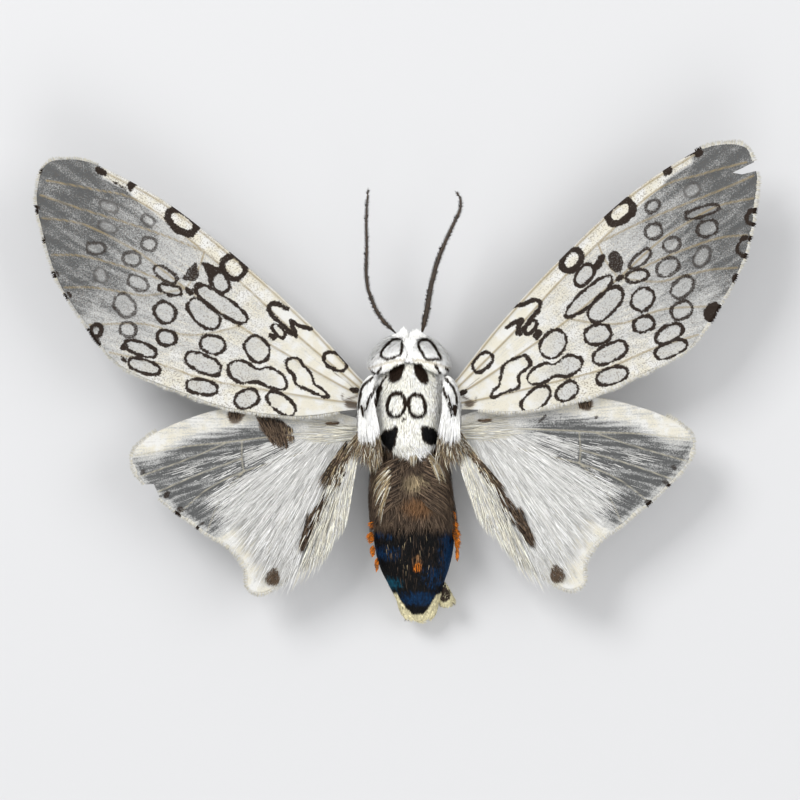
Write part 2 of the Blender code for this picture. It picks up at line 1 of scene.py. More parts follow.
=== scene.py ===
"""Looks of a giant leopard moth specimen: spread, dried and seen from straight above.

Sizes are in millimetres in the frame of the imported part, with +X to the right of the moth,
+Y towards its head and +Z up. Meshes are made in millimetres and scaled to metres at the end.
"""

from __future__ import annotations

import logging
import math
from dataclasses import dataclass, field, replace
from enum import Enum
from typing import Callable, Sequence, Tuple, Union

import bmesh
import bpy
import numpy as np
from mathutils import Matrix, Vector, noise

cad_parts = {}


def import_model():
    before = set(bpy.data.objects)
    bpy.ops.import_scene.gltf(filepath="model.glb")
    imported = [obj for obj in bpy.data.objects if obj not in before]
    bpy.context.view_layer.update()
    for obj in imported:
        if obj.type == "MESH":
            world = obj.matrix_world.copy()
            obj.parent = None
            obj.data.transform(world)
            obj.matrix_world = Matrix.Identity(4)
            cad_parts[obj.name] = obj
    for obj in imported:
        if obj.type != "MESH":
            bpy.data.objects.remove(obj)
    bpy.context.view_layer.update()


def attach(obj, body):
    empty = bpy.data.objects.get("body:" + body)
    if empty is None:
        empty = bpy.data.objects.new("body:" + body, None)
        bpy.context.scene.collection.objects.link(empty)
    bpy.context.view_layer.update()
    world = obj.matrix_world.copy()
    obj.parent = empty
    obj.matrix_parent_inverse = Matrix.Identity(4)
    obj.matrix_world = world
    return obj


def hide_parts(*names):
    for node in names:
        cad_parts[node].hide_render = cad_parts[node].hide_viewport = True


MM = 0.001
BODY = "root"
LOG = logging.getLogger("leopard_moth")

TINY = 1e-9
FAR = 9.0
LOWEST = 0.06
SIDES = {"left": -1, "right": 1}
UP = (0.0, 0.0, 1.0)

Array = np.ndarray
BMesh = bmesh.types.BMesh
Material = bpy.types.Material
Pair = Tuple[float, float]
Triple = Tuple[float, float, float]
Source = Union[bpy.types.NodeSocket, Triple, float]


def srgb(red: float, green: float, blue: float) -> Triple:
    """Returns the linear colour of a display colour given from 0 to 255."""
    return tuple(((v / 255 + 0.055) / 1.055) ** 2.4 if v > 10 else v / 3295 for v in (red, green, blue))


class Tint(Enum):
    """The colours of the scales, hair and membrane."""

    WHITE = srgb(255, 254, 250)
    CREAM = srgb(254, 249, 230)
    SILVER = srgb(234, 233, 230)
    CHALK = srgb(212, 211, 207)
    BAND = srgb(208, 203, 188)
    GREY = srgb(176, 176, 174)
    MEMBRANE = srgb(82, 83, 83)
    INK = srgb(34, 22, 13)
    BLACK = srgb(7, 7, 8)
    VEIN = srgb(140, 124, 90)
    PALE_VEIN = srgb(168, 162, 144)
    BROWN = srgb(98, 82, 67)
    DARK_BROWN = srgb(50, 40, 33)
    TAN = srgb(160, 143, 113)
    RUST = srgb(116, 84, 56)
    ORANGE = srgb(206, 116, 34)
    BLUE = srgb(4, 40, 72)
    TEAL = srgb(8, 62, 80)
    TAIL = srgb(212, 203, 166)


def smoothstep(low: float, high: float, x: Array) -> Array:
    """Returns 0 below low and 1 above high with a smooth rise between, or the reverse where low is above."""
    t = np.clip((x - low) / (high - low), 0.0, 1.0)
    return t * t * (3.0 - 2.0 * t)


def catmull(points: Sequence, step: float) -> Array:
    """Places points on a smooth curve through a few given ones.

    Args:
        points: The given points, of any number of dimensions.
        step: The distance wanted between the new points.

    Returns:
        The new points, one a row.
    """
    rows = np.asarray(points, float)
    rows = np.vstack([2 * rows[0] - rows[1], rows, 2 * rows[-1] - rows[-2]])
    out = []
    for a, b, c, d in zip(rows, rows[1:], rows[2:], rows[3:]):
        parts = max(1, round(float(np.linalg.norm(c - b)) / step))
        for t in np.arange(parts) / parts:
            bend = (2 * a - 5 * b + 4 * c - d) * t * t + (3 * b - a - 3 * c + d) * t**3
            out.append(b + 0.5 * ((c - a) * t + bend))
    out.append(rows[-2])
    return np.array(out)


def evenly(points: Array, t: Array) -> Array:
    """Returns the points at shares t of a broken line's length."""
    length = np.concatenate([[0.0], np.cumsum(np.linalg.norm(np.diff(points, axis=0), axis=1))])
    at = np.clip(t, 0.0, 1.0) * length[-1]
    return np.stack([np.interp(at, length, points[:, k]) for k in range(points.shape[1])], -1)


def unit(vectors: Array) -> Array:
    """Returns vectors drawn out to a length of one."""
    return vectors / np.maximum(np.linalg.norm(vectors, axis=-1, keepdims=True), TINY)


def cos_sin(degrees: float) -> Pair:
    """Returns the cosine and the sine of an angle."""
    return math.cos(math.radians(degrees)), math.sin(math.radians(degrees))


def line_distance(points: Array, line: Array) -> Array:
    """Measures from points in the plane to a broken line.

    Args:
        points: The points, one a row.
        line: The line's corners, one a row.

    Returns:
        Each point's distance.
    """
    best = np.full(len(points), 1e9)
    for a, b in zip(line, line[1:]):
        run = b - a
        t = np.clip((points - a) @ run / max(float(run @ run), 1e-12), 0.0, 1.0)
        best = np.minimum(best, np.linalg.norm(points - a - t[:, None] * run, axis=1))
    return best


def area_distance(points: Array, outline: Array) -> Array:
    """Measures from points in the plane to a closed outline.

    Args:
        points: The points, one a row.
        outline: The outline's corners, one a row.

    Returns:
        Each point's distance, negative inside the outline.
    """
    closed = np.vstack([outline, outline[:1]])
    inside = np.zeros(len(points), bool)
    x, y = points.T
    for (ax, ay), (bx, by) in zip(closed, closed[1:]):
        crosses = (ay > y) != (by > y)
        inside ^= crosses & (x < ax + (bx - ax) * (y - ay) / np.where(by == ay, 1e-12, by - ay))
    return np.where(inside, -1.0, 1.0) * line_distance(points, closed)


def drift(points: Array, scale: float, seed: float) -> Array:
    """Reads smooth noise at points.

    Args:
        points: Places in the plane or in space, one a row.
        scale: About how wide the noise's features are.
        seed: A number that sets one noise apart from another.

    Returns:
        One value a point, from about -1 to 1.
    """
    rows = np.asarray(points, float) / scale
    wide = np.zeros((len(rows), 3))
    wide[:, : rows.shape[1]] = rows
    wide[:, 2] += seed
    return np.array([noise.noise(Vector(row)) for row in wide])


def finished(name: str, mesh: bpy.types.Mesh, material: Material) -> bpy.types.Object:
    """Makes a scene object of a mesh in millimetres, scaled to metres and riding on the body.

    Args:
        name: The piece's name.
        mesh: Its mesh, in millimetres.
        material: Its finish.

    Returns:
        The object, at the origin.
    """
    places = np.empty(len(mesh.vertices) * 3, np.float32)
    mesh.vertices.foreach_get("co", places)
    mesh.vertices.foreach_set("co", places * MM)
    mesh.shade_smooth()
    mesh.materials.clear()
    mesh.materials.append(material)
    mesh.name = name
    piece = bpy.data.objects.new(name, mesh)
    bpy.context.scene.collection.objects.link(piece)
    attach(piece, BODY)
    LOG.info("%s: %d faces", name, len(mesh.polygons))
    return piece


def places_of(mesh: bpy.types.Mesh) -> Array:
    """Returns a mesh's vertex places, one a row."""
    flat = np.empty(len(mesh.vertices) * 3, np.float32)
    mesh.vertices.foreach_get("co", flat)
    return flat.reshape(-1, 3).astype(float)


def set_vector(mesh: bpy.types.Mesh, name: str, values: Array) -> None:
    """Stores three numbers a vertex under an attribute's name."""
    attribute = mesh.attributes.new(name, "FLOAT_VECTOR", "POINT")
    attribute.data.foreach_set("vector", values.astype(np.float32).ravel())


def set_tint(mesh: bpy.types.Mesh, values: Array) -> None:
    """Stores one linear colour a vertex."""
    rgba = np.ones((len(values), 4), np.float32)
    rgba[:, :3] = values
    mesh.attributes.new("tint", "FLOAT_COLOR", "POINT").data.foreach_set("color", rgba.ravel())


def joined(name: str, *forms: BMesh) -> bpy.types.Mesh:
    """Gathers forms into one mesh and frees them.

    Args:
        name: The mesh's name.
        forms: The forms.

    Returns:
        The mesh.
    """
    mesh, whole = bpy.data.meshes.new(name), bmesh.new()
    for form in forms:
        form.to_mesh(mesh)
        whole.from_mesh(mesh)
        form.free()
    whole.to_mesh(mesh)
    whole.free()
    return mesh


def ball_form(rings: int, sides: int, place: Callable[[Array, Array], Array]) -> BMesh:
    """Draws a sphere out into a closed form.

    Args:
        rings: Steps from one end to the other.
        sides: Steps round.
        place: Gives the places for shares along, from 0 to 1, and angles round, in radians.

    Returns:
        The form, in millimetres, facing out.
    """
    bm = bmesh.new()
    bmesh.ops.create_uvsphere(bm, u_segments=sides, v_segments=rings, radius=1.0)
    ball = np.array([v.co for v in bm.verts])
    along = np.arccos(np.clip(ball[:, 2], -1.0, 1.0)) / math.pi
    for vert, where in zip(bm.verts, place(along, np.arctan2(ball[:, 1], ball[:, 0]))):
        vert.co = where
    bmesh.ops.recalc_face_normals(bm, faces=bm.faces)
    return bm


@dataclass(frozen=True)
class LoftedBody:
    """A body's surface through upright oval rings: y, centre x, half width, underside and top."""

    stations: tuple[tuple[float, ...], ...]
    inset: float = 0.0

    def ring(self, y: Array) -> tuple[Array, Array, Array, Array]:
        """Returns the centre x, half width, middle height and half height at each y."""
        rows = catmull(self.stations, 0.2)[::-1]
        x, half, low, high = (np.interp(y, rows[:, 0], rows[:, k]) for k in (1, 2, 3, 4))
        return x, half - self.inset, (low + high) / 2, (high - low) / 2 - self.inset

    def place(self, y: Array, angle: Array, lift: Array | float = 0.0) -> Array:
        """Returns points over the surface.

        Args:
            y: Places along the body.
            angle: Angles round it from its right side over the top, in radians.
            lift: Heights over the surface.

        Returns:
            The points, one a row.
        """
        x, half, middle, tall = self.ring(y)
        half, tall = half + lift, tall + lift
        return np.stack([x + half * np.cos(angle), y, np.maximum(middle + tall * np.sin(angle), 0.05)], -1)

    def facing(self, y: Array, angle: Array) -> Array:
        """Returns the way the surface faces at each place."""
        step = 0.05
        along = self.place(y + step, angle) - self.place(y - step, angle)
        around = self.place(y, angle + step) - self.place(y, angle - step)
        return unit(np.cross(around, -along))

    def bearing(self, places: Array) -> Array:
        """Returns the angle round the body at which each place lies."""
        x, half, middle, tall = self.ring(places[:, 1])
        return np.arctan2((places[:, 2] - middle) / np.maximum(tall, 0.2),
            (places[:, 0] - x) / np.maximum(half, 0.2))

    def settle(self, centres: Array, rise: Array) -> Array:
        """Returns hairs' points moved to their rise over the body, save those off its ends."""
        flat = centres.reshape(-1, 3)
        moved = self.place(flat[:, 1], self.bearing(flat), rise.reshape(-1))
        on = (flat[:, 1] < self.stations[0][0]) & (flat[:, 1] > self.stations[-1][0])
        return np.where(on[:, None], moved, flat).reshape(centres.shape)

    def unwrap(self, roots: Array) -> Array:
        """Returns the places of roots on the body unrolled, as shares of its girth and length."""
        low, high = self.stations[-1][0], self.stations[0][0]
        uv = np.stack([(self.bearing(roots) / math.tau) % 1.0, (roots[:, 1] - low) / (high - low)], -1)
        return 0.01 + 0.98 * np.clip(uv, 0.0, 1.0)


@dataclass(frozen=True)
class SweptForm:
    """A tube or plate along a path, with its half widths, greatest half thickness and tilt."""

    path: tuple[Triple, ...]
    half_widths: tuple[float, ...]
    half_thickness: float = math.inf
    tilt: float = 0.0

    def place(self, t: Array, angle: Array, lift: Array | float = 0.0) -> Array:
        """Returns points over the form.

        Args:
            t: Shares of its length.
            angle: Angles round it, in radians.
            lift: Heights over its surface.

        Returns:
            The points, one a row.
        """
        line = catmull(self.path, 0.1)
        middle = evenly(line, t)
        along = unit(evenly(line, t + 0.02) - evenly(line, t - 0.02))
        side = unit(np.cross(along, UP))
        up = np.cross(side, along)
        cos, sin = cos_sin(self.tilt)
        wide, high = side * cos - up * sin, side * sin + up * cos
        radius = np.interp(t, np.linspace(0, 1, len(self.half_widths)), self.half_widths)
        close = np.sqrt(np.clip(1.0 - np.abs(2 * t - 1) ** 8, 0.0, 1.0))
        thick = np.minimum(radius, self.half_thickness) * close + lift
        radius = radius * close + lift
        return middle + wide * (radius * np.cos(angle))[:, None] + high * (thick * np.sin(angle))[:, None]

    def facing(self, t: Array, angle: Array) -> Array:
        """Returns the way the form faces at each place."""
        return unit(self.place(t, angle, 0.1) - self.place(t, angle))


class Sheet:
    """The nodes of one material, added one after another."""

    def __init__(self, name: str) -> None:
        """Starts a material with a Principled shader."""
        self.material = bpy.data.materials.new(name)
        self.material.use_nodes = True
        self.tree = self.material.node_tree
        self.shader = self.tree.nodes["Principled BSDF"]

    def node(self, kind: str, **values: float) -> bpy.types.Node:
        """Adds a node of a kind.

        Args:
            kind: The end of its type's name.
            values: Plain values for its inputs, with underscores for spaces.

        Returns:
            The node.
        """
        node = self.tree.nodes.new("ShaderNode" + kind)
        for name, value in values.items():
            node.inputs[name.replace("_", " ")].default_value = value
        return node

    def link(self, source: Source, socket: bpy.types.NodeSocket) -> None:
        """Joins an output, or sets a plain value, on an input.

        Args:
            source: The output or the value.
            socket: The input.
        """
        if isinstance(source, bpy.types.NodeSocket):
            self.tree.links.new(source, socket)
        elif isinstance(source, tuple) and socket.type == "RGBA":
            socket.default_value = (*source, 1.0)
        else:
            socket.default_value = source

    def math(self, operation: str, *terms: Source) -> bpy.types.NodeSocket:
        """Adds one sum of up to three terms and returns its output."""
        node = self.node("Math")
        node.operation = operation
        for socket, term in zip(node.inputs, terms):
            self.link(term, socket)
        return node.outputs[0]

    def step(self, value: Source, low: float, high: float) -> bpy.types.NodeSocket:
        """Returns a smooth rise from 0 to 1 as a value goes from low to high."""
        node = self.node("MapRange", From_Min=min(low, high), From_Max=max(low, high),
                         To_Min=float(low > high), To_Max=float(low < high))
        node.interpolation_type = "SMOOTHSTEP"
        self.link(value, node.inputs["Value"])
        return node.outputs["Result"]

    def mix(self, share: Source, a: Source, b: Source) -> bpy.types.NodeSocket:
        """Returns colour a turned to colour b by a share."""
        node = self.node("Mix")
        node.data_type = "RGBA"
        self.link(share, node.inputs["Factor"])
        for colour, socket in zip((a, b), (socket for socket in node.inputs if socket.type == "RGBA")):
            self.link(colour, socket)
        return next(socket for socket in node.outputs if socket.type == "RGBA")

    def attribute(self, name: str, output: str = "Vector") -> bpy.types.NodeSocket:
        """Returns an output of a vertex attribute."""
        node = self.node("Attribute")
        node.attribute_name = name
        return node.outputs[output]

    def numbers(self, name: str) -> bpy.types.NodeOutputs:
        """Returns the three numbers of a vertex attribute."""
        node = self.node("SeparateXYZ")
        self.link(self.attribute(name), node.inputs[0])
        return node.outputs

    def noise(self, place: bpy.types.NodeSocket, scale: float, detail: float) -> bpy.types.NodeSocket:
        """Returns noise that is read at a place."""
        node = self.node("TexNoise", Scale=scale, Detail=detail)
        self.link(place, node.inputs["Vector"])
        return node.outputs["Fac"]

    def grain(self, size: float, detail: float = 2.0) -> bpy.types.NodeSocket:
        """Returns noise with features about size millimetres wide on the object."""
        return self.noise(self.node("TexCoord").outputs["Object"], 1.0 / (size * MM), detail)

    def bump(self, height: bpy.types.NodeSocket, distance: float, strength: float = 1.0) -> None:
        """Gives the shader a relief of a height in millimetres."""
        node = self.node("Bump", Distance=distance * MM, Strength=strength)
        self.link(height, node.inputs["Height"])
        self.link(node.outputs["Normal"], self.shader.inputs["Normal"])

    def constant(self, **values: float) -> None:
        """Sets plain values on the shader's own sockets, with spaces for underscores."""
        for name, value in values.items():
            self.shader.inputs[name.replace("_", " ")].default_value = value


@dataclass(frozen=True)
class WingFinish:
    """Scaled membrane: dark rings, cream cover, bare grey cells and yellowish veins."""

    name: str
    streaks: float = 0.8
    line_half: float = 0.18
    soft: float = 0.06
    vein: Tint = Tint.VEIN
    vein_half: float = 0.2
    specks: float = 0.7

    def build(self) -> Material:
        """Returns the material, which reads the sheet's own distances in millimetres."""
        sheet = Sheet(self.name)
        vein, cover = sheet.numbers("marks")[1:]
        _, streak, greyness = sheet.numbers("tones")
        fine = sheet.grain(0.13, 1.0)
        patchy = sheet.grain(1.3, 3.0)
        laid = sheet.noise(sheet.attribute("lay"), 1.0, 4.0)
        thick = cover
        for noise_, share in ((fine, 0.8), (patchy, 0.3), (laid, self.streaks)):
            thick = sheet.math("ADD", thick, sheet.math("MULTIPLY_ADD", noise_, share, -share / 2))
        cream = sheet.mix(sheet.step(patchy, 0.4, 0.65), Tint.BAND.value, Tint.CHALK.value)
        base = sheet.mix(sheet.step(thick, 0.0, 0.6), Tint.MEMBRANE.value, Tint.GREY.value)
        base = sheet.mix(sheet.step(thick, 0.5, 0.95), base, cream)
        ink, inner = self.marks(sheet, fine)
        base = sheet.mix(sheet.math("MULTIPLY", inner, greyness), base, Tint.GREY.value)
        specks = sheet.math("MULTIPLY", sheet.step(sheet.grain(0.14, 0.0), 0.58, 0.66), greyness)
        base = sheet.mix(sheet.math("MULTIPLY", specks, self.specks), base, Tint.BROWN.value)
        vein_share = sheet.math("MULTIPLY", sheet.step(vein, self.vein_half, 0.0), 0.8)
        base = sheet.mix(vein_share, base, self.vein.value)
        edge = sheet.math("ADD", streak, sheet.math("MULTIPLY_ADD", laid, 1.6, -0.8))
        brown = sheet.mix(sheet.step(laid, 0.35, 0.65), Tint.DARK_BROWN.value, Tint.BROWN.value)
        base = sheet.mix(sheet.math("MULTIPLY", sheet.step(edge, 0.2, 0.8), 0.92), base, brown)
        base = sheet.mix(ink, base, Tint.INK.value)
        sheet.link(base, sheet.shader.inputs["Base Color"])
        solid = sheet.math("MAXIMUM", sheet.step(thick, 0.1, 0.6), sheet.step(vein, 0.2, 0.1))
        solid = sheet.math("MAXIMUM", solid, ink)
        sheet.link(sheet.math("MULTIPLY_ADD", solid, 0.12, 0.88), sheet.shader.inputs["Alpha"])
        sheet.link(sheet.math("MULTIPLY_ADD", solid, 0.25, 0.42), sheet.shader.inputs["Roughness"])
        relief = sheet.math("ADD", fine, sheet.math("MULTIPLY", laid, 2.0))
        sheet.bump(relief, 0.035, 0.6)
        sheet.constant(Specular_IOR_Level=0.25)
        return sheet.material

    def marks(self, sheet: Sheet, fine: bpy.types.NodeSocket) -> tuple:
        """Adds the nodes of the rings and blots.

        Args:
            sheet: The material's nodes.
            fine: The noise that frays the marks.

        Returns:
            How much each place is dark scales, and how much it lies inside a ring.
        """
        blot = sheet.numbers("marks")[0]
        strength = sheet.numbers("tones")[0]
        ragged = sheet.math("MULTIPLY_ADD", sheet.grain(0.8, 1.0), 0.4, -0.2)
        ragged = sheet.math("ADD", ragged, sheet.math("MULTIPLY_ADD", sheet.grain(0.17, 1.0), 0.32, -0.16))
        ink = sheet.step(sheet.math("ADD", blot, ragged), self.soft, -self.soft)
        inner = 0.0
        for distance in sheet.numbers("rings"):
            edge = sheet.math("ADD", sheet.math("ABSOLUTE", distance), ragged)
            line = sheet.step(edge, self.line_half + self.soft, self.line_half - self.soft)
            ink = sheet.math("MAXIMUM", ink, line)
            inner = sheet.math("MAXIMUM", inner, sheet.step(distance, 0.0, -0.12))
        firm = sheet.step(sheet.math("MULTIPLY_ADD", fine, 1.3, sheet.math("SUBTRACT", strength, 0.65)),
            0.0, 0.9)
        return sheet.math("MULTIPLY", ink, firm), inner


@dataclass(frozen=True)
class HairFinish:
    """Hair and scales that carry their own colour, with a soft or a hard gloss."""

    name: str
    roughness: float = 0.7
    gloss: float = 0.15

    def build(self) -> Material:
        """Returns the material, which reads the piece's colour attribute."""
        sheet = Sheet(self.name)
        shade = sheet.step(sheet.grain(0.25, 2.0), 0.25, 0.75)
        own = sheet.attribute("tint", "Color")
        dark = sheet.mix(0.08, own, Tint.BLACK.value)
        sheet.link(sheet.mix(shade, dark, own), sheet.shader.inputs["Base Color"])
        sheet.bump(sheet.grain(0.07, 1.0), 0.012, 0.5)
        sheet.constant(Roughness=self.roughness, Specular_IOR_Level=self.gloss)
        return sheet.material


@dataclass(frozen=True)
class HornFinish:
    """Bare horn of the feelers and claws, mottled dark and lighter brown."""

    name: str
    colour: Triple = srgb(36, 26, 16)

    def build(self) -> Material:
        """Returns the material."""
        sheet = Sheet(self.name)
        worn = sheet.step(sheet.grain(0.3, 3.0), 0.35, 0.7)
        base = sheet.mix(worn, self.colour, srgb(66, 49, 31))
        sheet.link(base, sheet.shader.inputs["Base Color"])
        sheet.bump(sheet.grain(0.06, 2.0), 0.02, 0.7)
        sheet.constant(Roughness=0.45)
        return sheet.material


@dataclass(frozen=True)
class EyeFinish:
    """The dark compound eye, with fine facets."""

    name: str
    facet: float = 0.045

    def build(self) -> Material:
        """Returns the material."""
        sheet = Sheet(self.name)
        cells = sheet.node("TexVoronoi", Scale=1.0 / (self.facet * MM))
        sheet.link(sheet.node("TexCoord").outputs["Object"], cells.inputs["Vector"])
        cloudy = sheet.step(sheet.grain(0.5, 2.0), 0.4, 0.7)
        base = sheet.mix(cloudy, srgb(18, 13, 10), srgb(42, 30, 24))
        sheet.link(base, sheet.shader.inputs["Base Color"])
        sheet.bump(cells.outputs["Distance"], -0.01, 0.6)
        sheet.constant(Roughness=0.18, Coat_Weight=0.4, Coat_Roughness=0.1)
        return sheet.material


@dataclass(frozen=True)
class FloorFinish:
    """A plain pale matt floor."""

    name: str = "pale_floor"

    def build(self) -> Material:
        """Returns the material."""
        sheet = Sheet(self.name)
        sheet.link(srgb(206, 206, 207), sheet.shader.inputs["Base Color"])
        sheet.constant(Roughness=0.9)
        return sheet.material


@dataclass
class Tufts:
    """Many thin tapered tufts, each a closed three-sided strip, gathered into one mesh."""

    name: str
    material: Material
    places: list[Array] = field(default_factory=list)
    normals: list[Array] = field(default_factory=list)
    tints: list[Array] = field(default_factory=list)
    maps: list[Array] = field(default_factory=list)
    corners: list[Array] = field(default_factory=list)
    sizes: list[Array] = field(default_factory=list)
    patch: float = 0.003

    def add(self, centres: Array, facing: Array, width: Array, thick: float, tints: Array,
            roots: Array) -> None:
        """Adds tufts that share a number of points.

        Args:
            centres: Their middle lines, tufts by points by three.
            facing: The way each tuft's flat side faces, tufts by three.
            width: Half width of each at its root, in millimetres.
            thick: Thickness as a share of the half width.
            tints: Colours at those points.
            roots: Each root's place on the skin's own unwrap.
        """
        count, points, _ = centres.shape
        run = np.gradient(centres, axis=1)
        side = unit(np.cross(run, facing[:, None, :]))
        up = unit(np.cross(side, run))
        taper = np.interp(np.linspace(0.0, 1.0, points), (0.0, 0.35, 0.75, 1.0), (0.8, 1.0, 0.62, 0.0))
        half = (width[:, None] * taper)[..., None]
        across, along = np.tile((-0.5, 0.5, 0.0),
            points - 1), np.repeat(np.linspace(-0.5, 0.5, points)[:-1], 3)
        offsets = np.concatenate([np.stack([across, along], -1), [[0.0, 0.5]]]) * self.patch
        corners, sizes = self.strip_faces(points)
        first = sum(map(len, self.places)) + np.arange(count) * len(offsets)
        self.corners.append((corners + first[:, None]).ravel())
        self.sizes.append(np.tile(sizes, count))
        self.maps.append((roots[:, None, :] + offsets)[:, corners].reshape(-1, 2))
        broad, tall = side * half, up * half * thick
        self.places.append(self.ringed([centres - broad, centres + broad, centres + tall], centres))
        self.normals.append(self.ringed([up - 0.6 * side, up + 0.6 * side, up], up))
        self.tints.append(self.ringed([tints] * 3, tints))

    @staticmethod
    def ringed(edges: list[Array], middle: Array) -> Array:
        """Lines up the values of tufts' rings and tips.

        Args:
            edges: The values on the three edges, each tufts by points by three.
            middle: Those on the middle line, the last of which is the tip's.

        Returns:
            The values, one vertex a row.
        """
        rings = np.stack(edges, 2)[:, :-1].reshape(len(middle), -1, 3)
        return np.concatenate([rings, middle[:, -1:]], 1).reshape(-1, 3)

    def build(self) -> bpy.types.Object:
        """Returns the piece, with its tints and its OFBake map."""
        places, corners, sizes = (np.concatenate(values) for values in (self.places, self.corners,
            self.sizes))
        mesh = bpy.data.meshes.new(self.name)
        mesh.vertices.add(len(places))
        mesh.vertices.foreach_set("co", places.astype(np.float32).ravel())
        mesh.loops.add(len(corners))
        mesh.loops.foreach_set("vertex_index", corners.astype(np.int32))
        mesh.polygons.add(len(sizes))
        mesh.polygons.foreach_set("loop_start", (np.cumsum(sizes) - sizes).astype(np.int32))
        mesh.polygons.foreach_set("loop_total", sizes.astype(np.int32))
        mesh.update(calc_edges=True)
        set_tint(mesh, np.concatenate(self.tints))
        uv_map = mesh.uv_layers.new(name="OFBake")
        uv_map.data.foreach_set("uv", np.concatenate(self.maps).astype(np.float32).ravel())
        piece = finished(self.name, mesh, self.material)
        mesh.normals_split_custom_set_from_vertices(unit(np.concatenate(self.normals)).tolist())
        return piece

    @staticmethod
    def strip_faces(points: int) -> tuple[Array, Array]:
        """Returns the corners and sizes of one three-sided tuft's faces.

        Args:
            points: How many points its middle line has, the last being the tip.

        Returns:
            The vertex of each corner, and the number of corners of each face.
        """
        corners, sizes = [0, 1, 2], [3]
        for k in range(points - 2):
            for a, b in ((0, 1), (1, 2), (2, 0)):
                corners += [3 * k + b, 3 * k + a, 3 * k + 3 + a, 3 * k + 3 + b]
                sizes.append(4)
        tip = 3 * (points - 1)
        for a, b in ((0, 1), (1, 2), (2, 0)):
            corners += [tip - 3 + b, tip - 3 + a, tip]
            sizes.append(3)
        return np.array(corners), np.array(sizes)


@dataclass(frozen=True)
class OpenAir:
    """No bed at all: hair that keeps its own line, unwrapped with the body it stands over."""

    body: LoftedBody

    def settle(self, centres: Array, rise: Array) -> Array:
        """Returns hairs' points lifted by their rise."""
        return centres + rise[..., None] * np.array(UP)

    def unwrap(self, roots: Array) -> Array:
        """Returns the places of roots on the body unrolled."""
        return self.body.unwrap(roots)


@dataclass(frozen=True)
class HairFan:
    """Hair laid between a line of roots and a line of tips, drawn together into locks."""

    roots: tuple
    tips: tuple
    count: int
    length: Pair
    width: Pair
    tints: tuple[Tint, ...]
    start: Pair = (0.0, 0.3)
    rise: Pair = (0.1, 0.4)
    locks: int = 9
    pull: float = 0.6
    stray: float = 0.04
    shade: float = 0.14
    points: int = 4
    soft: float = 1.15
    reach: Pair = (0.85, 1.05)

    def grow(self, tufts: Tufts, bed: LoftedBody | WingForm | OpenAir, seed: int) -> None:
        """Adds the fan's hair to a piece.

        Args:
            tufts: The piece.
            bed: What the hair lies on.
            seed: The seed of its chances.
        """
        rng = np.random.default_rng(seed)
        a = rng.beta(self.soft, self.soft, self.count)
        t = np.linspace(0.0, 1.0, self.points)
        root_line, tip_line = catmull(self.roots, 0.2), catmull(self.tips, 0.2)
        total = np.maximum(np.linalg.norm(evenly(tip_line, a) - evenly(root_line, a), axis=1), 0.2)
        start, length = rng.uniform(*self.start, self.count), rng.uniform(*self.length, self.count)
        end = np.minimum(start + length / total, rng.uniform(*self.reach, self.count))
        start = np.minimum(start, end - 0.1)
        share = start[:, None] + (end - start)[:, None] * t
        lock = np.round(a * self.locks).astype(int)
        aim = (lock + rng.uniform(-0.3, 0.3, self.locks + 1)[lock]) / self.locks
        drawn = a[:, None] + (self.pull * (aim - a))[:, None] * t**1.5
        drawn = np.clip(drawn + rng.normal(0.0, self.stray, (self.count, 1)) * t, 0.0, 1.0)
        near, far = evenly(root_line, drawn), evenly(tip_line, drawn)
        centres = near + (far - near) * share[..., None]
        arch = np.interp(t, (0, 0.35, 1), (0.0, 1.0, 0.7)) * rng.uniform(*self.rise, (self.count, 1)) - 0.05
        centres = bed.settle(centres, arch)
        facing = (bed.settle(centres, arch + 0.1) - centres)[:, self.points // 2] + (0.0, 0.0, 1e-3)
        palette = np.array([tint.value for tint in self.tints])
        tone = palette[rng.integers(0, len(palette), self.count)] * np.exp(rng.normal(0, self.shade,
            (self.count, 1)))
        # Each hair is darker at its root and brighter at its tip: painted shade deep in the coat and painted
        # light on the tips.
        tints = np.clip(tone[:, None, :] * np.interp(t, (0, 1), (0.8, 1.05))[None, :, None], 0.0, 1.0)
        centres[..., 2] = np.maximum(centres[..., 2], LOWEST)
        tufts.add(centres, facing, rng.uniform(*self.width, self.count), 0.5, tints,
            bed.unwrap(centres[:, 0]))


@dataclass(frozen=True)
class Oval:
    """One ring or spot: centre x and y, half length, half width and turn of its long axis in degrees."""

    x: float
    y: float
    long: float
    short: float
    turn: float
    strength: float = 1.0

    @property
    def middle(self) -> tuple[Array, float]:
        """Is the ring's centre and how far it reaches from it."""
        return np.array((self.x, self.y)), (self.long + self.short) / 2

    def distance(self, points: Array) -> Array:
        """Returns the distance from the oval's line, negative inside."""
        cos, sin = cos_sin(self.turn)
        dx, dy = points[:, 0] - self.x, points[:, 1] - self.y
        a, b = (dx * cos + dy * sin) / self.long, (dy * cos - dx * sin) / self.short
        radius = (np.abs(a) ** 2.3 + np.abs(b) ** 2.3) ** (1 / 2.3)
        steep = np.hypot(a / self.long, b / self.short) / np.maximum(np.hypot(a, b), 1e-6)
        return (radius - 1.0) / np.maximum(steep, 1.0 / self.long)


@dataclass(frozen=True)
class Patch:
    """An irregular ring through a few points."""

    points: tuple[Pair, ...]
    strength: float = 1.0

    @property
    def middle(self) -> tuple[Array, float]:
        """Is the ring's centre and how far it reaches from it."""
        points = np.array(self.points)
        centre = points.mean(0)
        return centre, float(np.linalg.norm(points - centre, axis=1).mean())

    def distance(self, points: Array) -> Array:
        """Returns the distance from the ring's line, negative inside."""
        looped = (*self.points, self.points[0])
        return area_distance(points, catmull(looped, 0.25)[:-1])


@dataclass(frozen=True)
class Stroke:
    """A dark line of a given half width through a few points."""

    points: tuple[Pair, ...]
    half: float = 0.15

    def distance(self, points: Array) -> Array:
        """Returns the distance from the stroke's edge, negative inside."""
        return line_distance(points, catmull(self.points, 0.25)) - self.half


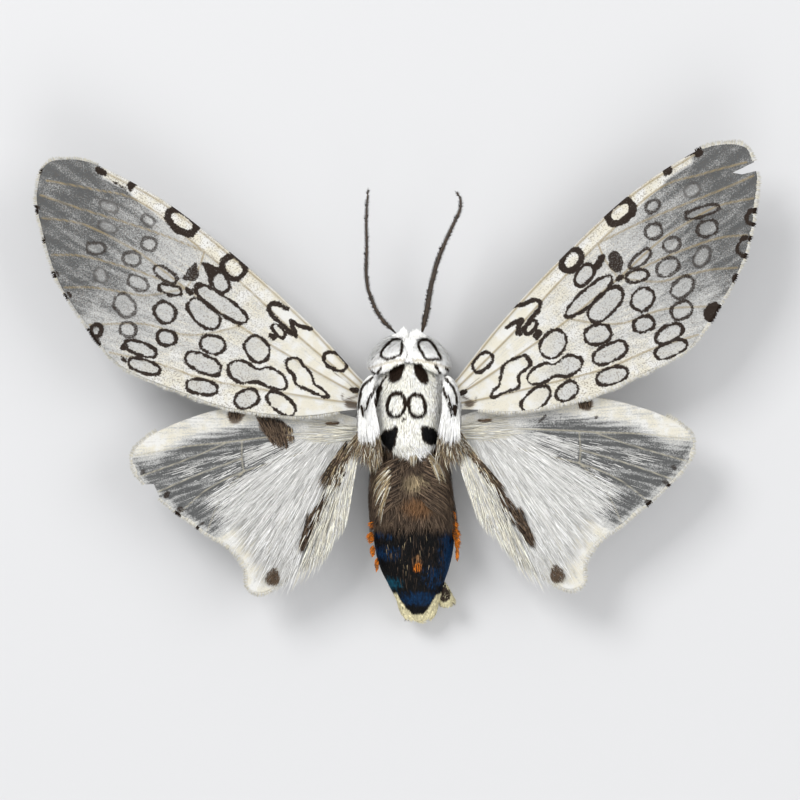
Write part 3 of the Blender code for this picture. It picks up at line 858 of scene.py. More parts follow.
@dataclass(frozen=True)
class Hoop:
    """An oval ring with a thick wall of a given half width."""

    ring: Oval
    half: float

    def distance(self, points: Array) -> Array:
        """Returns the distance from the wall's edge, negative within it."""
        return np.abs(self.ring.distance(points)) - self.half


@dataclass(frozen=True)
class WingPattern:
    """The marks of one wing in the frame: rings, solid dark marks and soft brown streaks."""

    rings: tuple = ()
    solid: tuple = ()
    streaks: tuple = ()

    def channels(self) -> list[list]:
        """Shares the rings among three channels, so that none lies beside another of its channel."""
        shared: list[list] = [[], [], []]
        for ring in self.rings:
            centre, reach = ring.middle
            room = []
            for channel in shared:
                gaps = [np.linalg.norm(centre - o.middle[0]) - reach - o.middle[1] for o in channel]
                room.append(min(gaps, default=99.0))
            shared[next((k for k in range(3) if room[k] > 0.4), int(np.argmax(room)))].append(ring)
        return shared

    def measure(self, points: Array) -> tuple[Array, Array, Array, Array]:
        """Measures the marks at places on the wing.

        Args:
            points: Places in the frame, seen from above.

        Returns:
            The distance from each channel's rings, from the filled marks, the strength of the nearest
            mark, and the share of brown streak.
        """
        moved = points + 0.09 * np.stack([drift(points, 1.3, 3.1), drift(points, 1.3, 7.7)], -1)
        rings = np.full((len(points), 3), FAR)
        near, blots = np.full((2, len(points)), FAR)
        strength, streak = np.ones(len(points)), np.zeros(len(points))
        for k, channel in enumerate(self.channels()):
            for ring in channel:
                distance = ring.distance(moved)
                rings[:, k] = np.minimum(rings[:, k], distance)
                closer = np.abs(distance) < near
                near = np.where(closer, np.abs(distance), near)
                strength = np.where(closer, ring.strength, strength)
        for mark in self.solid:
            distance = mark.distance(moved)
            blots = np.minimum(blots, distance)
            strength = np.where(distance < 0.1, getattr(mark, "strength", 1.0), strength)
        for mark in self.streaks:
            streak = np.maximum(streak, smoothstep(0.35, -0.45, mark.distance(moved)))
        return rings, blots, strength, streak


@dataclass(frozen=True)
class WingForm:
    """A wing's outline and veins outwards and forwards of its root, and the root's place in the frame."""

    edge: tuple[Pair, ...]
    apex: int
    corner: int
    veins: tuple[tuple[Pair, ...], ...]
    root: Pair
    turn: float
    size: float
    drop: float
    thickness: float = 0.13
    root_height: float = 6.1
    rise: float = 0.062
    sag: float = 0.35
    sag_length: float = 34.0
    vein_rise: float = 0.12

    @property
    def side(self) -> int:
        """Is -1 on the left and 1 on the right."""
        return -1 if self.root[0] < 0 else 1

    def to_frame(self, local: Array) -> Array:
        """Returns places in the frame, seen from above, of places on the wing."""
        cos, sin = cos_sin(self.turn)
        u, v = local[..., 0], local[..., 1]
        x = self.root[0] + self.side * self.size * (cos * u - sin * v)
        return np.stack([x, self.root[1] + self.size * (sin * u + cos * v)], -1)

    def to_wing(self, places: Array) -> Array:
        """Returns places on the wing of places in the frame."""
        cos, sin = cos_sin(self.turn)
        across = (places[..., 0] - self.root[0]) * self.side / self.size
        ahead = (places[..., 1] - self.root[1]) / self.size
        return np.stack([cos * across + sin * ahead, cos * ahead - sin * across], -1)

    def height(self, places: Array) -> Array:
        """Returns the height of the sheet's middle over the floor."""
        sag = self.sag * np.cos(math.tau * places[..., 1] / self.sag_length)
        return self.root_height + self.rise * np.abs(places[..., 0]) - sag - self.drop

    def settle(self, centres: Array, rise: Array) -> Array:
        """Returns hairs' points moved to their rise over the wing."""
        z = self.height(centres[..., :2]) + rise
        return np.concatenate([centres[..., :2], z[..., None]], -1)

    def unwrap(self, roots: Array) -> Array:
        """Returns the places of roots on the flat wing, as shares of its outline's box."""
        edge = np.array(self.edge)
        low, high = edge.min(0) - 3.0, edge.max(0) + 3.0
        return 0.02 + 0.96 * (self.to_wing(roots[:, :2]) - low) / (high - low)

    def vein_distance(self, local: Array) -> Array:
        """Returns how far places on the wing are from the nearest vein."""
        return np.min([line_distance(local, catmull(vein, 0.4)) for vein in self.veins], 0)

    def sides(self) -> tuple[Array, Array, Array]:
        """Returns the leading, outer and trailing edges as smooth lines."""
        line = catmull(self.edge, 0.2)
        marks = [int(np.argmin(np.linalg.norm(line - np.array(self.edge[k]), axis=1))) for k in (self.apex,
            self.corner)]
        return line[: marks[0] + 1], line[marks[0] : marks[1] + 1], line[marks[1] :]

    def patch(self, s: Array, t: Array) -> Array:
        """Finds places on the wing.

        Args:
            s: Shares of the way from its root to its outer edge.
            t: Shares of the way from its front to its back.

        Returns:
            The places, outwards and forwards of the root.
        """
        leading, outer, trailing = self.sides()
        top, bottom = evenly(leading, s), evenly(trailing[::-1], s)
        root, rim = evenly(np.stack([leading[0], trailing[-1]]), t), evenly(outer, t)
        s, t = s[:, None], t[:, None]
        corners = (1 - s) * ((1 - t) * leading[0] + t * trailing[-1]) + s * ((1 - t) * leading[-1] + t
            * outer[-1])
        return (1 - t) * top + t * bottom + (1 - s) * root + s * rim - corners


@dataclass
class WingSheet:
    """One wing: the scaled sheet with its veins, and the fringe of scales along its edge."""

    name: str
    form: WingForm
    pattern: WingPattern
    material: Material
    fringe: Material
    cover: Callable[[Array], Array]
    columns: int = 250
    rows: int = 120
    hub: Pair = (-4.0, -3.0)
    fringe_count: int = 2600
    fringe_length: float = 0.42
    fringe_share: float = 0.86
    tears: tuple[tuple[Pair, ...], ...] = ()
    seed: int = 11

    def build(self) -> None:
        """Builds the sheet and its fringe, and hides the plain wing."""
        piece = self.sheet()
        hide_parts(self.name)
        self.hem()

    def sheet(self) -> bpy.types.Object:
        """Returns the sheet, drawn from a grid, torn where it is torn, and given its thickness."""
        bm = bmesh.new()
        bmesh.ops.create_grid(bm, x_segments=self.columns, y_segments=self.rows, size=1.0)
        square = np.array([v.co for v in bm.verts])
        local = self.form.patch((square[:, 0] + 1) / 2, (1 - square[:, 1]) / 2)
        places = self.form.to_frame(local)
        for vert, (x, y), z in zip(bm.verts, places, self.form.height(places) + self.relief(local)):
            vert.co = (x, y, z)
        for tear in self.tears:
            self.tear(bm, np.array(tear))
        bmesh.ops.recalc_face_normals(bm, faces=bm.faces)
        bmesh.ops.solidify(bm, geom=bm.faces[:], thickness=self.form.thickness)
        bmesh.ops.recalc_face_normals(bm, faces=bm.faces)
        mesh = joined(self.name + "_sheet", bm)
        places = places_of(mesh)[:, :2]
        rings, blots, strength, streak = self.pattern.measure(places)
        local = self.form.to_wing(places)
        cover = self.cover(local)
        set_vector(mesh, "rings", rings)
        set_vector(mesh, "marks", np.stack([blots, self.form.vein_distance(local), cover], -1))
        greyness = smoothstep(6.0, 12.0, local[:, 0]) * (0.25 + 0.5 * cover)
        set_vector(mesh, "tones", np.stack([strength, streak, greyness], -1))
        reach = local - np.array(self.hub)
        radius, bearing = np.hypot(*reach.T), np.arctan2(reach[:, 1], reach[:, 0])
        set_vector(mesh, "lay", np.stack([0.24 * radius, 52.0 * bearing, 0.0 * radius], -1))
        return finished(self.name + "_sheet", mesh, self.material)

    def tear(self, bm: BMesh, outline: Array) -> None:
        """Cuts the sheet along an outline and takes out what lies inside it.

        Args:
            bm: The sheet.
            outline: The tear's corners in the frame, one a row.
        """
        for corner, after in zip(outline, np.roll(outline, -1, 0)):
            inside = self.faces_within(bm, outline, 0.4)
            along = after - corner
            bmesh.ops.bisect_plane(
                bm, geom=[*inside, *{e for f in inside for e in f.edges},
                    *{v for f in inside for v in f.verts}],
                plane_co=(*corner, 0.0), plane_no=(along[1], -along[0], 0.0),
            )
        bmesh.ops.delete(bm, geom=self.faces_within(bm, outline, 0.0), context="FACES")

    @staticmethod
    def faces_within(bm: BMesh, outline: Array, reach: float) -> list[bmesh.types.BMFace]:
        """Returns the faces whose middles lie inside an outline or within reach of it."""
        middles = np.array([f.calc_center_median()[:2] for f in bm.faces])
        near = area_distance(middles, outline) < reach
        return [f for f, chosen in zip(bm.faces, near) if chosen]

    def relief(self, local: Array) -> Array:
        """Adds up veins, pleats between them and buckles.

        Args:
            local: Places on the wing.

        Returns:
            How far the sheet stands over its smooth form there.
        """
        near = self.form.vein_distance(local)
        ridge = self.form.vein_rise * np.exp(-((near / 0.16) ** 2))
        pleat = 0.05 * np.exp(-near / 0.7)
        buckle = 0.12 * drift(local * (0.6, 1.6), 2.6, 4.0) + 0.03 * drift(local, 0.7, 9.0)
        return ridge + pleat + buckle * smoothstep(0.0, 4.0, local[:, 0])

    def hem(self) -> bpy.types.Object:
        """Returns the fringe of narrow scales along the outer and trailing edges."""
        rng = np.random.default_rng(self.seed)
        leading, outer, trailing = self.form.sides()
        line = np.vstack([leading[-20:], outer, trailing[: int(len(trailing) * self.fringe_share)]])
        share = np.sort(rng.uniform(0, 1, self.fringe_count))
        root = evenly(line, share)
        ahead = unit(evenly(line, share + 0.004) - evenly(line, share - 0.004))
        out = np.stack([-ahead[:, 1], ahead[:, 0]], -1)
        lean = rng.normal(0.0, 0.22, (len(root), 1)) + 0.25 * drift(root, 0.8, 5.0)[:, None]
        way = out + ahead * lean
        length = self.fringe_length * rng.uniform(0.45, 1.1,
            len(root)) * (1.0 + 0.45 * drift(root, 1.7, 2.0))
        whole = np.ones(len(root), bool)
        for tear in self.tears:
            whole &= area_distance(self.form.to_frame(root), np.array(tear)) > 0.1
        root, way, length = root[whole], way[whole], length[whole]
        t = np.linspace(-0.35, 1.0, 3)
        local = root[:, None, :] + way[:, None, :] * (length[:, None] * t)[..., None]
        places = self.form.to_frame(local)
        droop = rng.normal(0.0, 0.1, (len(root), 1)) * np.clip(t, 0, 1)
        z = self.form.height(places) - self.form.thickness / 2 + droop + 0.04
        centres = np.concatenate([places, z[..., None]], -1)
        _, blots, _, _ = self.pattern.measure(places[:, 0])
        dark = (blots < 0.05)[:, None]
        base = np.where(rng.random((len(root), 1)) < 0.5, Tint.BAND.value, Tint.CHALK.value)
        shade = np.where(dark, Tint.INK.value, base) * rng.uniform(0.75, 1.0, (len(root), 1))
        tints = np.repeat(shade[:, None, :], len(t), 1)
        hem = Tufts(self.name + "_fringe", self.fringe)
        hem.add(centres, np.tile(UP, (len(root), 1)), rng.uniform(0.035, 0.07, len(root)), 0.5, tints,
            self.form.unwrap(places[:, 1]))
        return hem.build()


FOREWING_EDGE = (
    (-2.6, -0.6), (-0.7, 0.9), (4.3, 6.3), (10.7, 12.2), (19.2, 19.0), (26.8, 23.15), (30.4, 23.7),
    (32.2, 23.0), (32.9, 20.6), (32.7, 17.6), (30.8, 11.2), (27.6, 6.1), (25.4, 3.2),
    (23.0, 1.4), (18.0, -0.6), (13.0, -2.3), (6.1, -3.15), (0.7, -2.6), (-2.6, -2.3),
)
FOREWING_VEINS = (
    ((-1.6, -0.9), (5.5, 5.1), (10.7, 10.0), (15.5, 14.1), (22.2, 19.3), (27.1, 20.6), (32.0, 21.5)),
    ((15.5, 14.1), (20.0, 15.9), (24.3, 17.3), (29.5, 18.9), (32.6, 20.0)),
    ((17.4, 10.2), (21.6, 13.5), (24.5, 15.2), (28.4, 17.0), (32.4, 17.6)),
    ((17.4, 10.2), (20.7, 11.4), (23.6, 12.4), (28.2, 13.6), (31.4, 13.7)),
    ((17.4, 10.2), (21.5, 9.5), (23.8, 9.8), (27.1, 10.3), (30.1, 10.3)),
    ((11.8, 6.3), (14.7, 5.6), (17.7, 5.4), (21.9, 6.5), (27.5, 6.4)),
    ((-1.6, -1.3), (1.3, 0.1), (6.5, 3.1), (11.8, 6.3), (17.4, 10.2)),
    ((17.4, 10.2), (16.1, 12.3), (15.5, 14.1)),
    ((-1.6, -1.9), (2.3, -1.5), (8.7, -0.5), (15.4, 0.7), (20.5, 2.4), (25.4, 3.5)),
    ((-2.4, -0.7), (-0.6, 0.75), (4.4, 6.1), (10.8, 12.0), (19.3, 18.8), (26.8, 22.9)),
)
HINDWING_EDGE = (
    (-2.4, 0.9), (-0.7, 1.4), (3.0, 2.3), (8.0, 2.9), (12.6, 2.35), (17.5, 0.84), (21.0, -0.95),
    (22.35, -2.7), (21.8, -4.8), (19.2, -7.4), (15.3, -10.3), (11.8, -12.7), (10.5, -14.6), (10.3, -16.5),
    (8.9, -17.2), (7.2, -16.4), (4.6, -13.9), (2.7, -11.4), (1.5, -8.8), (0.6, -6.0), (-0.7, -3.0),
    (-2.2, -1.6),
)
HINDWING_VEINS = (
    ((-1.4, 0.2), (8.8, -0.84), (12.4, -1.3), (17.2, -1.8), (22.1, -2.7)),
    ((12.4, -1.3), (16.4, -3.0), (21.6, -4.9)),
    ((10.9, -3.0), (15.5, -4.7), (19.9, -6.6)),
    ((10.9, -1.15), (10.9, -3.0), (10.7, -4.4)),
    ((-1.4, -0.5), (1.0, -1.2), (6.4, -3.05), (10.7, -4.4), (14.3, -6.1), (17.5, -8.8)),
    ((10.7, -4.4), (13.0, -7.0), (14.5, -10.6)),
    ((-1.2, -1.2), (2.5, -4.6), (6.5, -9.8), (9.4, -15.6)),
)
HINDWING_DROP = 1.1
LEFT_FOREWING_MARKS = WingPattern(
    rings=(
        Oval(-27.37, 19.89, 0.74, 0.47, -30, 0.5), Oval(-27.26, 17.37, 0.79, 0.68, -20, 0.6),
        Oval(-29.05, 15.84, 0.89, 0.68, -10, 0.6), Oval(-32.84, 16.95, 0.95, 0.58, -5, 0.6),
        Oval(-31.58, 19.16, 0.95, 0.53, -20, 0.35), Oval(-32.31, 14.1, 0.79, 0.58, -65, 0.35),
        Oval(-28.42, 13.32, 1.11, 0.68, -30, 0.6), Oval(-25.58, 14.21, 1.42, 0.58, -35, 0.8),
        Oval(-25.1, 12.63, 1.21, 0.49, -15, 0.9), Oval(-19.79, 13.37, 1.11, 0.79, -60),
        Oval(-19.79, 11.16, 3.26, 0.9, -35), Oval(-21.58, 10.1, 1.95, 1.11, -42),
        Oval(-25.63, 10.26, 1.18, 1.05, -45, 0.9), Oval(-29.79, 10.95, 1.26, 1.0, -50, 0.6),
        Oval(-29.47, 8.46, 0.89, 0.74, -30, 0.7), Oval(-25.47, 7.58, 1.0, 0.77, -10),
        Oval(-28.21, 6.42, 1.68, 0.68, -18), Oval(-27.79, 4.58, 1.68, 0.68, -18),
        Oval(-20.68, 6.89, 1.32, 0.93, -10), Oval(-21.63, 4.89, 2.0, 0.95, -25),
        Oval(-21.79, 2.42, 1.63, 0.81, -8), Oval(-16.0, 6.42, 1.42, 1.16, -55),
        Oval(-17.05, 1.16, 1.28, 0.95, 20), Oval(-13.47, 0.68, 1.74, 0.89, -38),
        Oval(-13.74, 8.32, 0.84, 0.44, -45),
        Oval(-31.47, 21.37, 0.95, 0.53, -20, 0.4),
        Patch(((-19.01, 4.76), (-18.24, 5.14), (-17.22, 5.06), (-16.33, 4.5), (-15.82, 4.3), (-14.92, 4.5),
            (-13.9, 4.12), (-13.01, 3.36), (-12.88, 2.59), (-13.39, 2.21), (-14.67, 2.33), (-15.69, 2.85),
            (-16.45, 2.97), (-17.48, 2.85), (-18.5, 3.23), (-19.01, 3.99))),
        Patch(((-13.01, 5.01), (-12.38, 5.47), (-11.61, 5.35), (-11.1, 4.63), (-10.34, 3.86), (-9.95, 2.72),
            (-9.19, 2.21), (-8.5, 1.37), (-9.32, 1.44), (-10.46, 2.0), (-11.86, 2.72), (-12.17, 3.74),
            (-12.76, 4.25))),
    ),
    solid=(
        Hoop(Oval(-23.85, 19.8, 1.62, 0.98, -38), 0.4), Hoop(Oval(-18.45, 14.95, 1.25, 1.08, -45), 0.33),
        Hoop(Oval(-7.79, 5.11, 1.26, 0.79, -30), 0.2), Hoop(Oval(-32.8, 8.33, 0.62, 0.52, 60), 0.24),
        Patch(((-21.8, 15.5), (-20.5, 15.2), (-19.5, 14.7), (-20.4, 13.9), (-20.8, 12.9), (-21.2, 14.0))),
        Patch(((-23.9, 13.8), (-22.4, 15.5), (-22.1, 14.3), (-22.6, 13.5)), 0.8),
        Oval(-23.1, 12.4, 0.55, 0.35, -40), Oval(-22.2, 12.9, 0.8, 0.18, 20),
        Oval(-14.4, 7.7, 0.55, 0.36, -35),
        Oval(-32.3, 25.0, 0.75, 0.36, -30), Oval(-29.1, 23.5, 0.42, 0.62, -35),
        Oval(-5.75, 2.15, 0.5, 0.32, -20),
        Oval(-29.9, 6.6, 0.5, 0.36, 45), Oval(-29.9, 5.3, 0.42, 0.28, -50),
        Oval(-38.6, 25.0, 0.4, 0.12, 60, 0.7), Oval(-38.8, 21.0, 0.4, 0.12, 90, 0.7),
        Oval(-38.2, 17.9, 0.35, 0.12, 110, 0.7), Oval(-36.8, 14.3, 0.35, 0.15, 115, 0.7),
        Oval(-35.6, 12.1, 0.45, 0.2, 120, 0.8), Oval(-32.6, 7.2, 0.45, 0.2, 130, 0.8),
        Stroke(((-31.9, 25.0), (-31.3, 24.2), (-29.6, 23.1)), 0.1),
        Stroke(((-12.72, 10.65), (-13.84, 11.22), (-14.59, 11.13), (-14.68, 10.38), (-14.03, 9.62),
            (-13.18, 8.78), (-12.53, 8.12), (-11.96, 7.75)), 0.26),
        Stroke(((-10.37, 8.59), (-11.59, 8.87), (-12.43, 9.25), (-12.15, 8.49), (-11.87, 7.75)), 0.26),
    ),
    streaks=(
        Stroke(((-7.8, 3.9), (-6.9, 3.3), (-6.0, 2.5)), 0.06), Stroke(((-7.0, 1.6), (-6.9, 1.0),
            (-5.5, 1.5)), 0.14),
        Patch(((-6.8, 1.1), (-6.1, 1.1), (-5.3, 0.7), (-5.2, 0.0), (-6.3, 0.1), (-6.8, 0.5))),
    ),
)
RIGHT_FOREWING_MARKS = WingPattern(
    rings=(
        Oval(25.58, 21.37, 0.8, 0.57, 35, 0.65), Oval(25.64, 18.75, 0.89, 0.8, 30, 0.7),
        Oval(27.53, 17.38, 0.89, 0.74, 25, 0.65), Oval(31.28, 19.03, 1.05, 0.8, 15, 0.7),
        Oval(30.71, 20.8, 1.84, 0.51, 17, 0.75), Oval(29.69, 23.08, 0.84, 0.63, 30, 0.4),
        Oval(27.13, 14.95, 1.21, 0.84, 32, 0.7), Oval(30.68, 16.1, 1.14, 0.74, 62, 0.55),
        Oval(24.27, 15.84, 1.37, 0.56, 42, 0.8), Oval(23.95, 14.07, 1.16, 0.61, 12, 0.9),
        Oval(18.45, 14.18, 1.26, 0.79, 52), Oval(18.9, 11.92, 3.11, 0.79, 41),
        Oval(20.63, 11.09, 2.26, 1.11, 46), Oval(24.53, 11.64, 1.26, 1.08, 50),
        Oval(28.68, 12.86, 1.32, 0.91, 42, 0.7), Oval(28.61, 10.46, 1.13, 0.84, 25, 0.8),
        Oval(24.65, 9.01, 1.11, 0.81, 15), Oval(27.34, 8.01, 1.54, 0.81, 28),
        Oval(27.51, 6.38, 1.73, 0.79, 22), Oval(19.87, 7.93, 1.39, 1.03, 20),
        Oval(21.18, 6.02, 1.93, 0.93, 26), Oval(21.36, 3.58, 1.68, 0.84, 18),
        Oval(15.19, 6.93, 1.58, 1.22, 55), Oval(16.64, 1.95, 1.26, 0.88, 35),
        Oval(13.38, 1.13, 1.79, 0.97, 40), Oval(12.84, 8.74, 0.84, 0.44, 50),
        Patch(((18.09, 5.45), (17.35, 5.75), (16.41, 5.61), (15.62, 5.02), (15.16, 4.8), (14.32, 4.93),
            (13.4, 4.5), (12.63, 3.72), (12.57, 3.0), (13.07, 2.69), (14.24, 2.9), (15.15, 3.44),
            (15.85, 3.61), (16.81, 3.57), (17.72, 4.0), (18.14, 4.74))),
        Patch(((12.1, 5.72), (12.69, 5.21), (12.62, 4.44), (11.57, 3.72), (11.6, 2.48), (10.69, 2.08),
            (10.08, 1.8), (8.66, 1.36), (8.88, 1.98), (9.54, 2.81), (9.97, 4.62), (10.66, 5.21))),
    ),
    solid=(
        Hoop(Oval(22.15, 20.8, 1.45, 0.95, 38), 0.4), Hoop(Oval(17.09, 15.72, 1.21, 0.85, 52), 0.32),
        Hoop(Oval(7.76, 5.02, 1.21, 0.74, 45), 0.2), Hoop(Oval(36.08, 20.12, 0.74, 0.7, 60), 0.2),
        Hoop(Oval(35.17, 17.15, 1.0, 0.7, 62), 0.2),
        Oval(21.7, 15.6, 1.1, 0.75, -75, 0.85), Oval(20.0, 15.5, 0.95, 0.42, 60),
        Oval(22.2, 13.9, 0.5, 0.35, 40),
        Oval(27.0, 25.3, 0.55, 0.7, 30), Oval(30.4, 27.0, 0.5, 0.4, 30), Oval(29.4, 26.9, 0.8, 0.22, 25),
        Oval(31.8, 10.3, 1.1, 0.8, 60), Oval(36.9, 22.7, 0.6, 0.3, 90), Oval(34.2, 13.8, 0.5, 0.3, 70),
        Oval(13.56, 7.93, 0.6, 0.42, 45), Oval(5.7, 1.85, 0.5, 0.32, 20),
        Stroke(((11.12, 10.92), (12.1, 11.15), (13.28, 11.59), (13.74, 11.37), (13.7, 10.74), (12.83, 9.56),
            (11.65, 8.01)), 0.26),
        Stroke(((10.29, 8.74), (11.84, 9.52), (11.57, 8.83), (11.35, 8.11)), 0.26),
    ),
    streaks=(
        Stroke(((7.4, 3.39), (5.9, 2.1)), 0.08), Stroke(((7.1, 1.3), (6.9, 0.8), (5.7, 1.4)), 0.16),
        Patch(((5.9, 0.9), (6.4, 1.1), (7.0, 0.9), (6.75, 0.3), (6.2, 0.2), (5.8, 0.5))),
    ),
)
LEFT_HINDWING_MARKS = WingPattern(
    solid=(
        Oval(-28.1, -6.6, 0.35, 0.25, 60, 0.6),
        Oval(-25.5, -8.9, 0.42, 0.32, 50, 0.7), Oval(-24.1, -10.5, 0.4, 0.3, 45, 0.7),
        Oval(-21.9, -12.0, 0.3, 0.22, 40, 0.6),
    ),
    streaks=(
        Patch(((-19.2, 0.6), (-17.3, 0.5), (-17.5, -0.9), (-18.2, -1.5), (-19.0, -1.2))),
        Patch(((-16.3, -0.3), (-13.6, -0.9), (-12.3, -2.9), (-13.4, -4.4), (-14.4, -3.5), (-15.7, -2.0))),
        Oval(-14.4, -17.8, 0.7, 0.4, 60),
    ),
)
RIGHT_HINDWING_MARKS = WingPattern(
    solid=(
        Oval(27.9, -6.1, 0.35, 0.25, 110, 0.6),
        Oval(27.0, -7.5, 0.35, 0.25, 120, 0.6), Oval(25.1, -9.7, 0.4, 0.3, 130, 0.7),
        Oval(14.1, -0.95, 0.5, 0.14, 45, 0.6), Oval(19.8, -0.8, 0.2, 0.14, 0, 0.6),
    ),
    streaks=(Patch(((18.2, 1.1), (19.4, 1.1), (19.2, 0.0), (18.3, 0.1))), Oval(15.8, -17.7, 0.6, 0.4, 70)),
)


def forewing_cover(local: Array) -> Array:
    """Returns how thick the scales lie on a forewing, from 0 where it is bare to 1 at its base."""
    u, v = local.T
    spread = np.interp(
        u + 0.3 * v, (0, 8, 15, 20, 24, 27, 31, 37), (1.0, 0.9, 0.76, 0.64, 0.5, 0.3, 0.16, 0.08)
    )
    band = np.vstack([catmull(FOREWING_EDGE[:6], 0.5), catmull(FOREWING_VEINS[0][:5], 0.5)[::-1]])
    front = smoothstep(0.25, -0.1, area_distance(local, band)) * smoothstep(24.2, 22.6, u)
    tip = smoothstep(1.1, 0.8, line_distance(local, catmull(FOREWING_EDGE[4:7], 0.5))) * smoothstep(26.6,
        26.0, u)
    rear = 0.22 * smoothstep(5.0, 0.5, line_distance(local, catmull(FOREWING_EDGE[11:], 0.5)))
    return np.clip(np.maximum(np.maximum(front, 0.8 * tip), spread) + rear, 0.0, 1.0)


def hindwing_cover(local: Array) -> Array:
    """Returns how thick the scales lie on a hindwing: along its front and round its base."""
    u, v = local.T
    front = smoothstep(3.4, 1.4, line_distance(local, catmull(HINDWING_EDGE[:7], 0.5)))
    base = smoothstep(7.5, -1.0, u + 0.9 * v + 1.5)
    rear = smoothstep(3.0, -3.0, u + 1.15 * v - 1.0)
    rim = 0.45 * smoothstep(0.9, 0.1, line_distance(local, catmull(HINDWING_EDGE[6:15], 0.5)))
    near = 0.8 * smoothstep(9.0, 3.0, u)
    return np.clip(np.max([0.85 * front, 0.6 * base, rear, rim, near], 0), 0.1, 1.0)


def forewing(side: str) -> WingForm:
    """Returns the form of the left or right forewing."""
    root, turn, size = {"left": ((-6.0, 2.53), 0.0, 1.0), "right": ((5.79, 2.53), 4.5, 0.98)}[side]
    return WingForm(FOREWING_EDGE, 6, 12, FOREWING_VEINS, root, turn, size, 0.0)


def hindwing(side: str) -> WingForm:
    """Returns the form of the left or right hindwing."""
    root, turn, size = {"left": ((-6.74, -2.1), 0.0, 1.0), "right": ((6.68, -1.9), 4.0, 1.03)}[side]
    return WingForm(HINDWING_EDGE, 7, 13, HINDWING_VEINS, root, turn, size, HINDWING_DROP)


BODY_STATIONS = (
    (8.15, 0.1, 0.5, 4.4, 6.1), (7.8, 0.1, 1.25, 3.7, 6.9), (7.3, 0.05, 1.8, 3.1, 7.3),
    (6.8, 0.0, 2.0, 2.7, 7.5), (6.2, 0.0, 2.3, 2.2, 7.6), (5.2, 0.0, 3.1, 0.7, 8.3),
    (3.2, 0.0, 3.9, -0.4, 9.1), (0.6, 0.0, 4.15, -0.7, 9.5), (-1.8, 0.05, 4.0, -0.6, 9.3),
    (-3.6, 0.1, 3.5, 0.2, 8.6), (-4.6, 0.12, 3.4, 0.6, 7.6), (-6.4, 0.15, 4.0, -0.2, 7.5),
    (-9.0, 0.2, 4.25, -0.5, 7.6), (-11.6, 0.45, 4.4, -0.6, 7.5), (-14.2, 0.55, 4.4, -0.5, 7.1),
    (-16.6, 0.6, 3.9, -0.3, 6.3), (-18.6, 0.75, 3.1, 0.3, 5.4), (-20.2, 0.95, 2.5, 1.0, 4.4),
    (-21.4, 1.0, 2.2, 1.4, 3.7), (-22.2, 1.05, 1.75, 1.6, 3.2), (-22.6, 1.0, 1.1, 1.9, 2.8),
)
COLLAR = ((0.3, 6.6, 8.15), (1.8, 6.2, 8.1), (3.1, 5.2, 7.8), (3.9, 4.4, 7.3))
TEGULA = ((3.9, 3.7, 7.9), (4.3, 2.4, 8.1), (4.45, 0.8, 8.15), (4.45, -1.0, 8.0), (4.4, -2.7, 7.7))


def mirrored(path: Sequence[tuple], side: int) -> tuple:
    """Returns a path on the right, or the same on the left."""
    return tuple((x * side, *rest) for x, *rest in path)


def collar(side: int) -> SweptForm:
    """Returns the collar plate of one side."""
    return SweptForm(mirrored(COLLAR, side), (1.5, 1.75, 1.4, 0.6), 0.36, -side * 32.0)


def tegula(side: int) -> SweptForm:
    """Returns the shoulder plate of one side."""
    return SweptForm(mirrored(TEGULA, side), (0.5, 1.0, 1.15, 1.1, 0.7), 0.36, -side * 38.0)


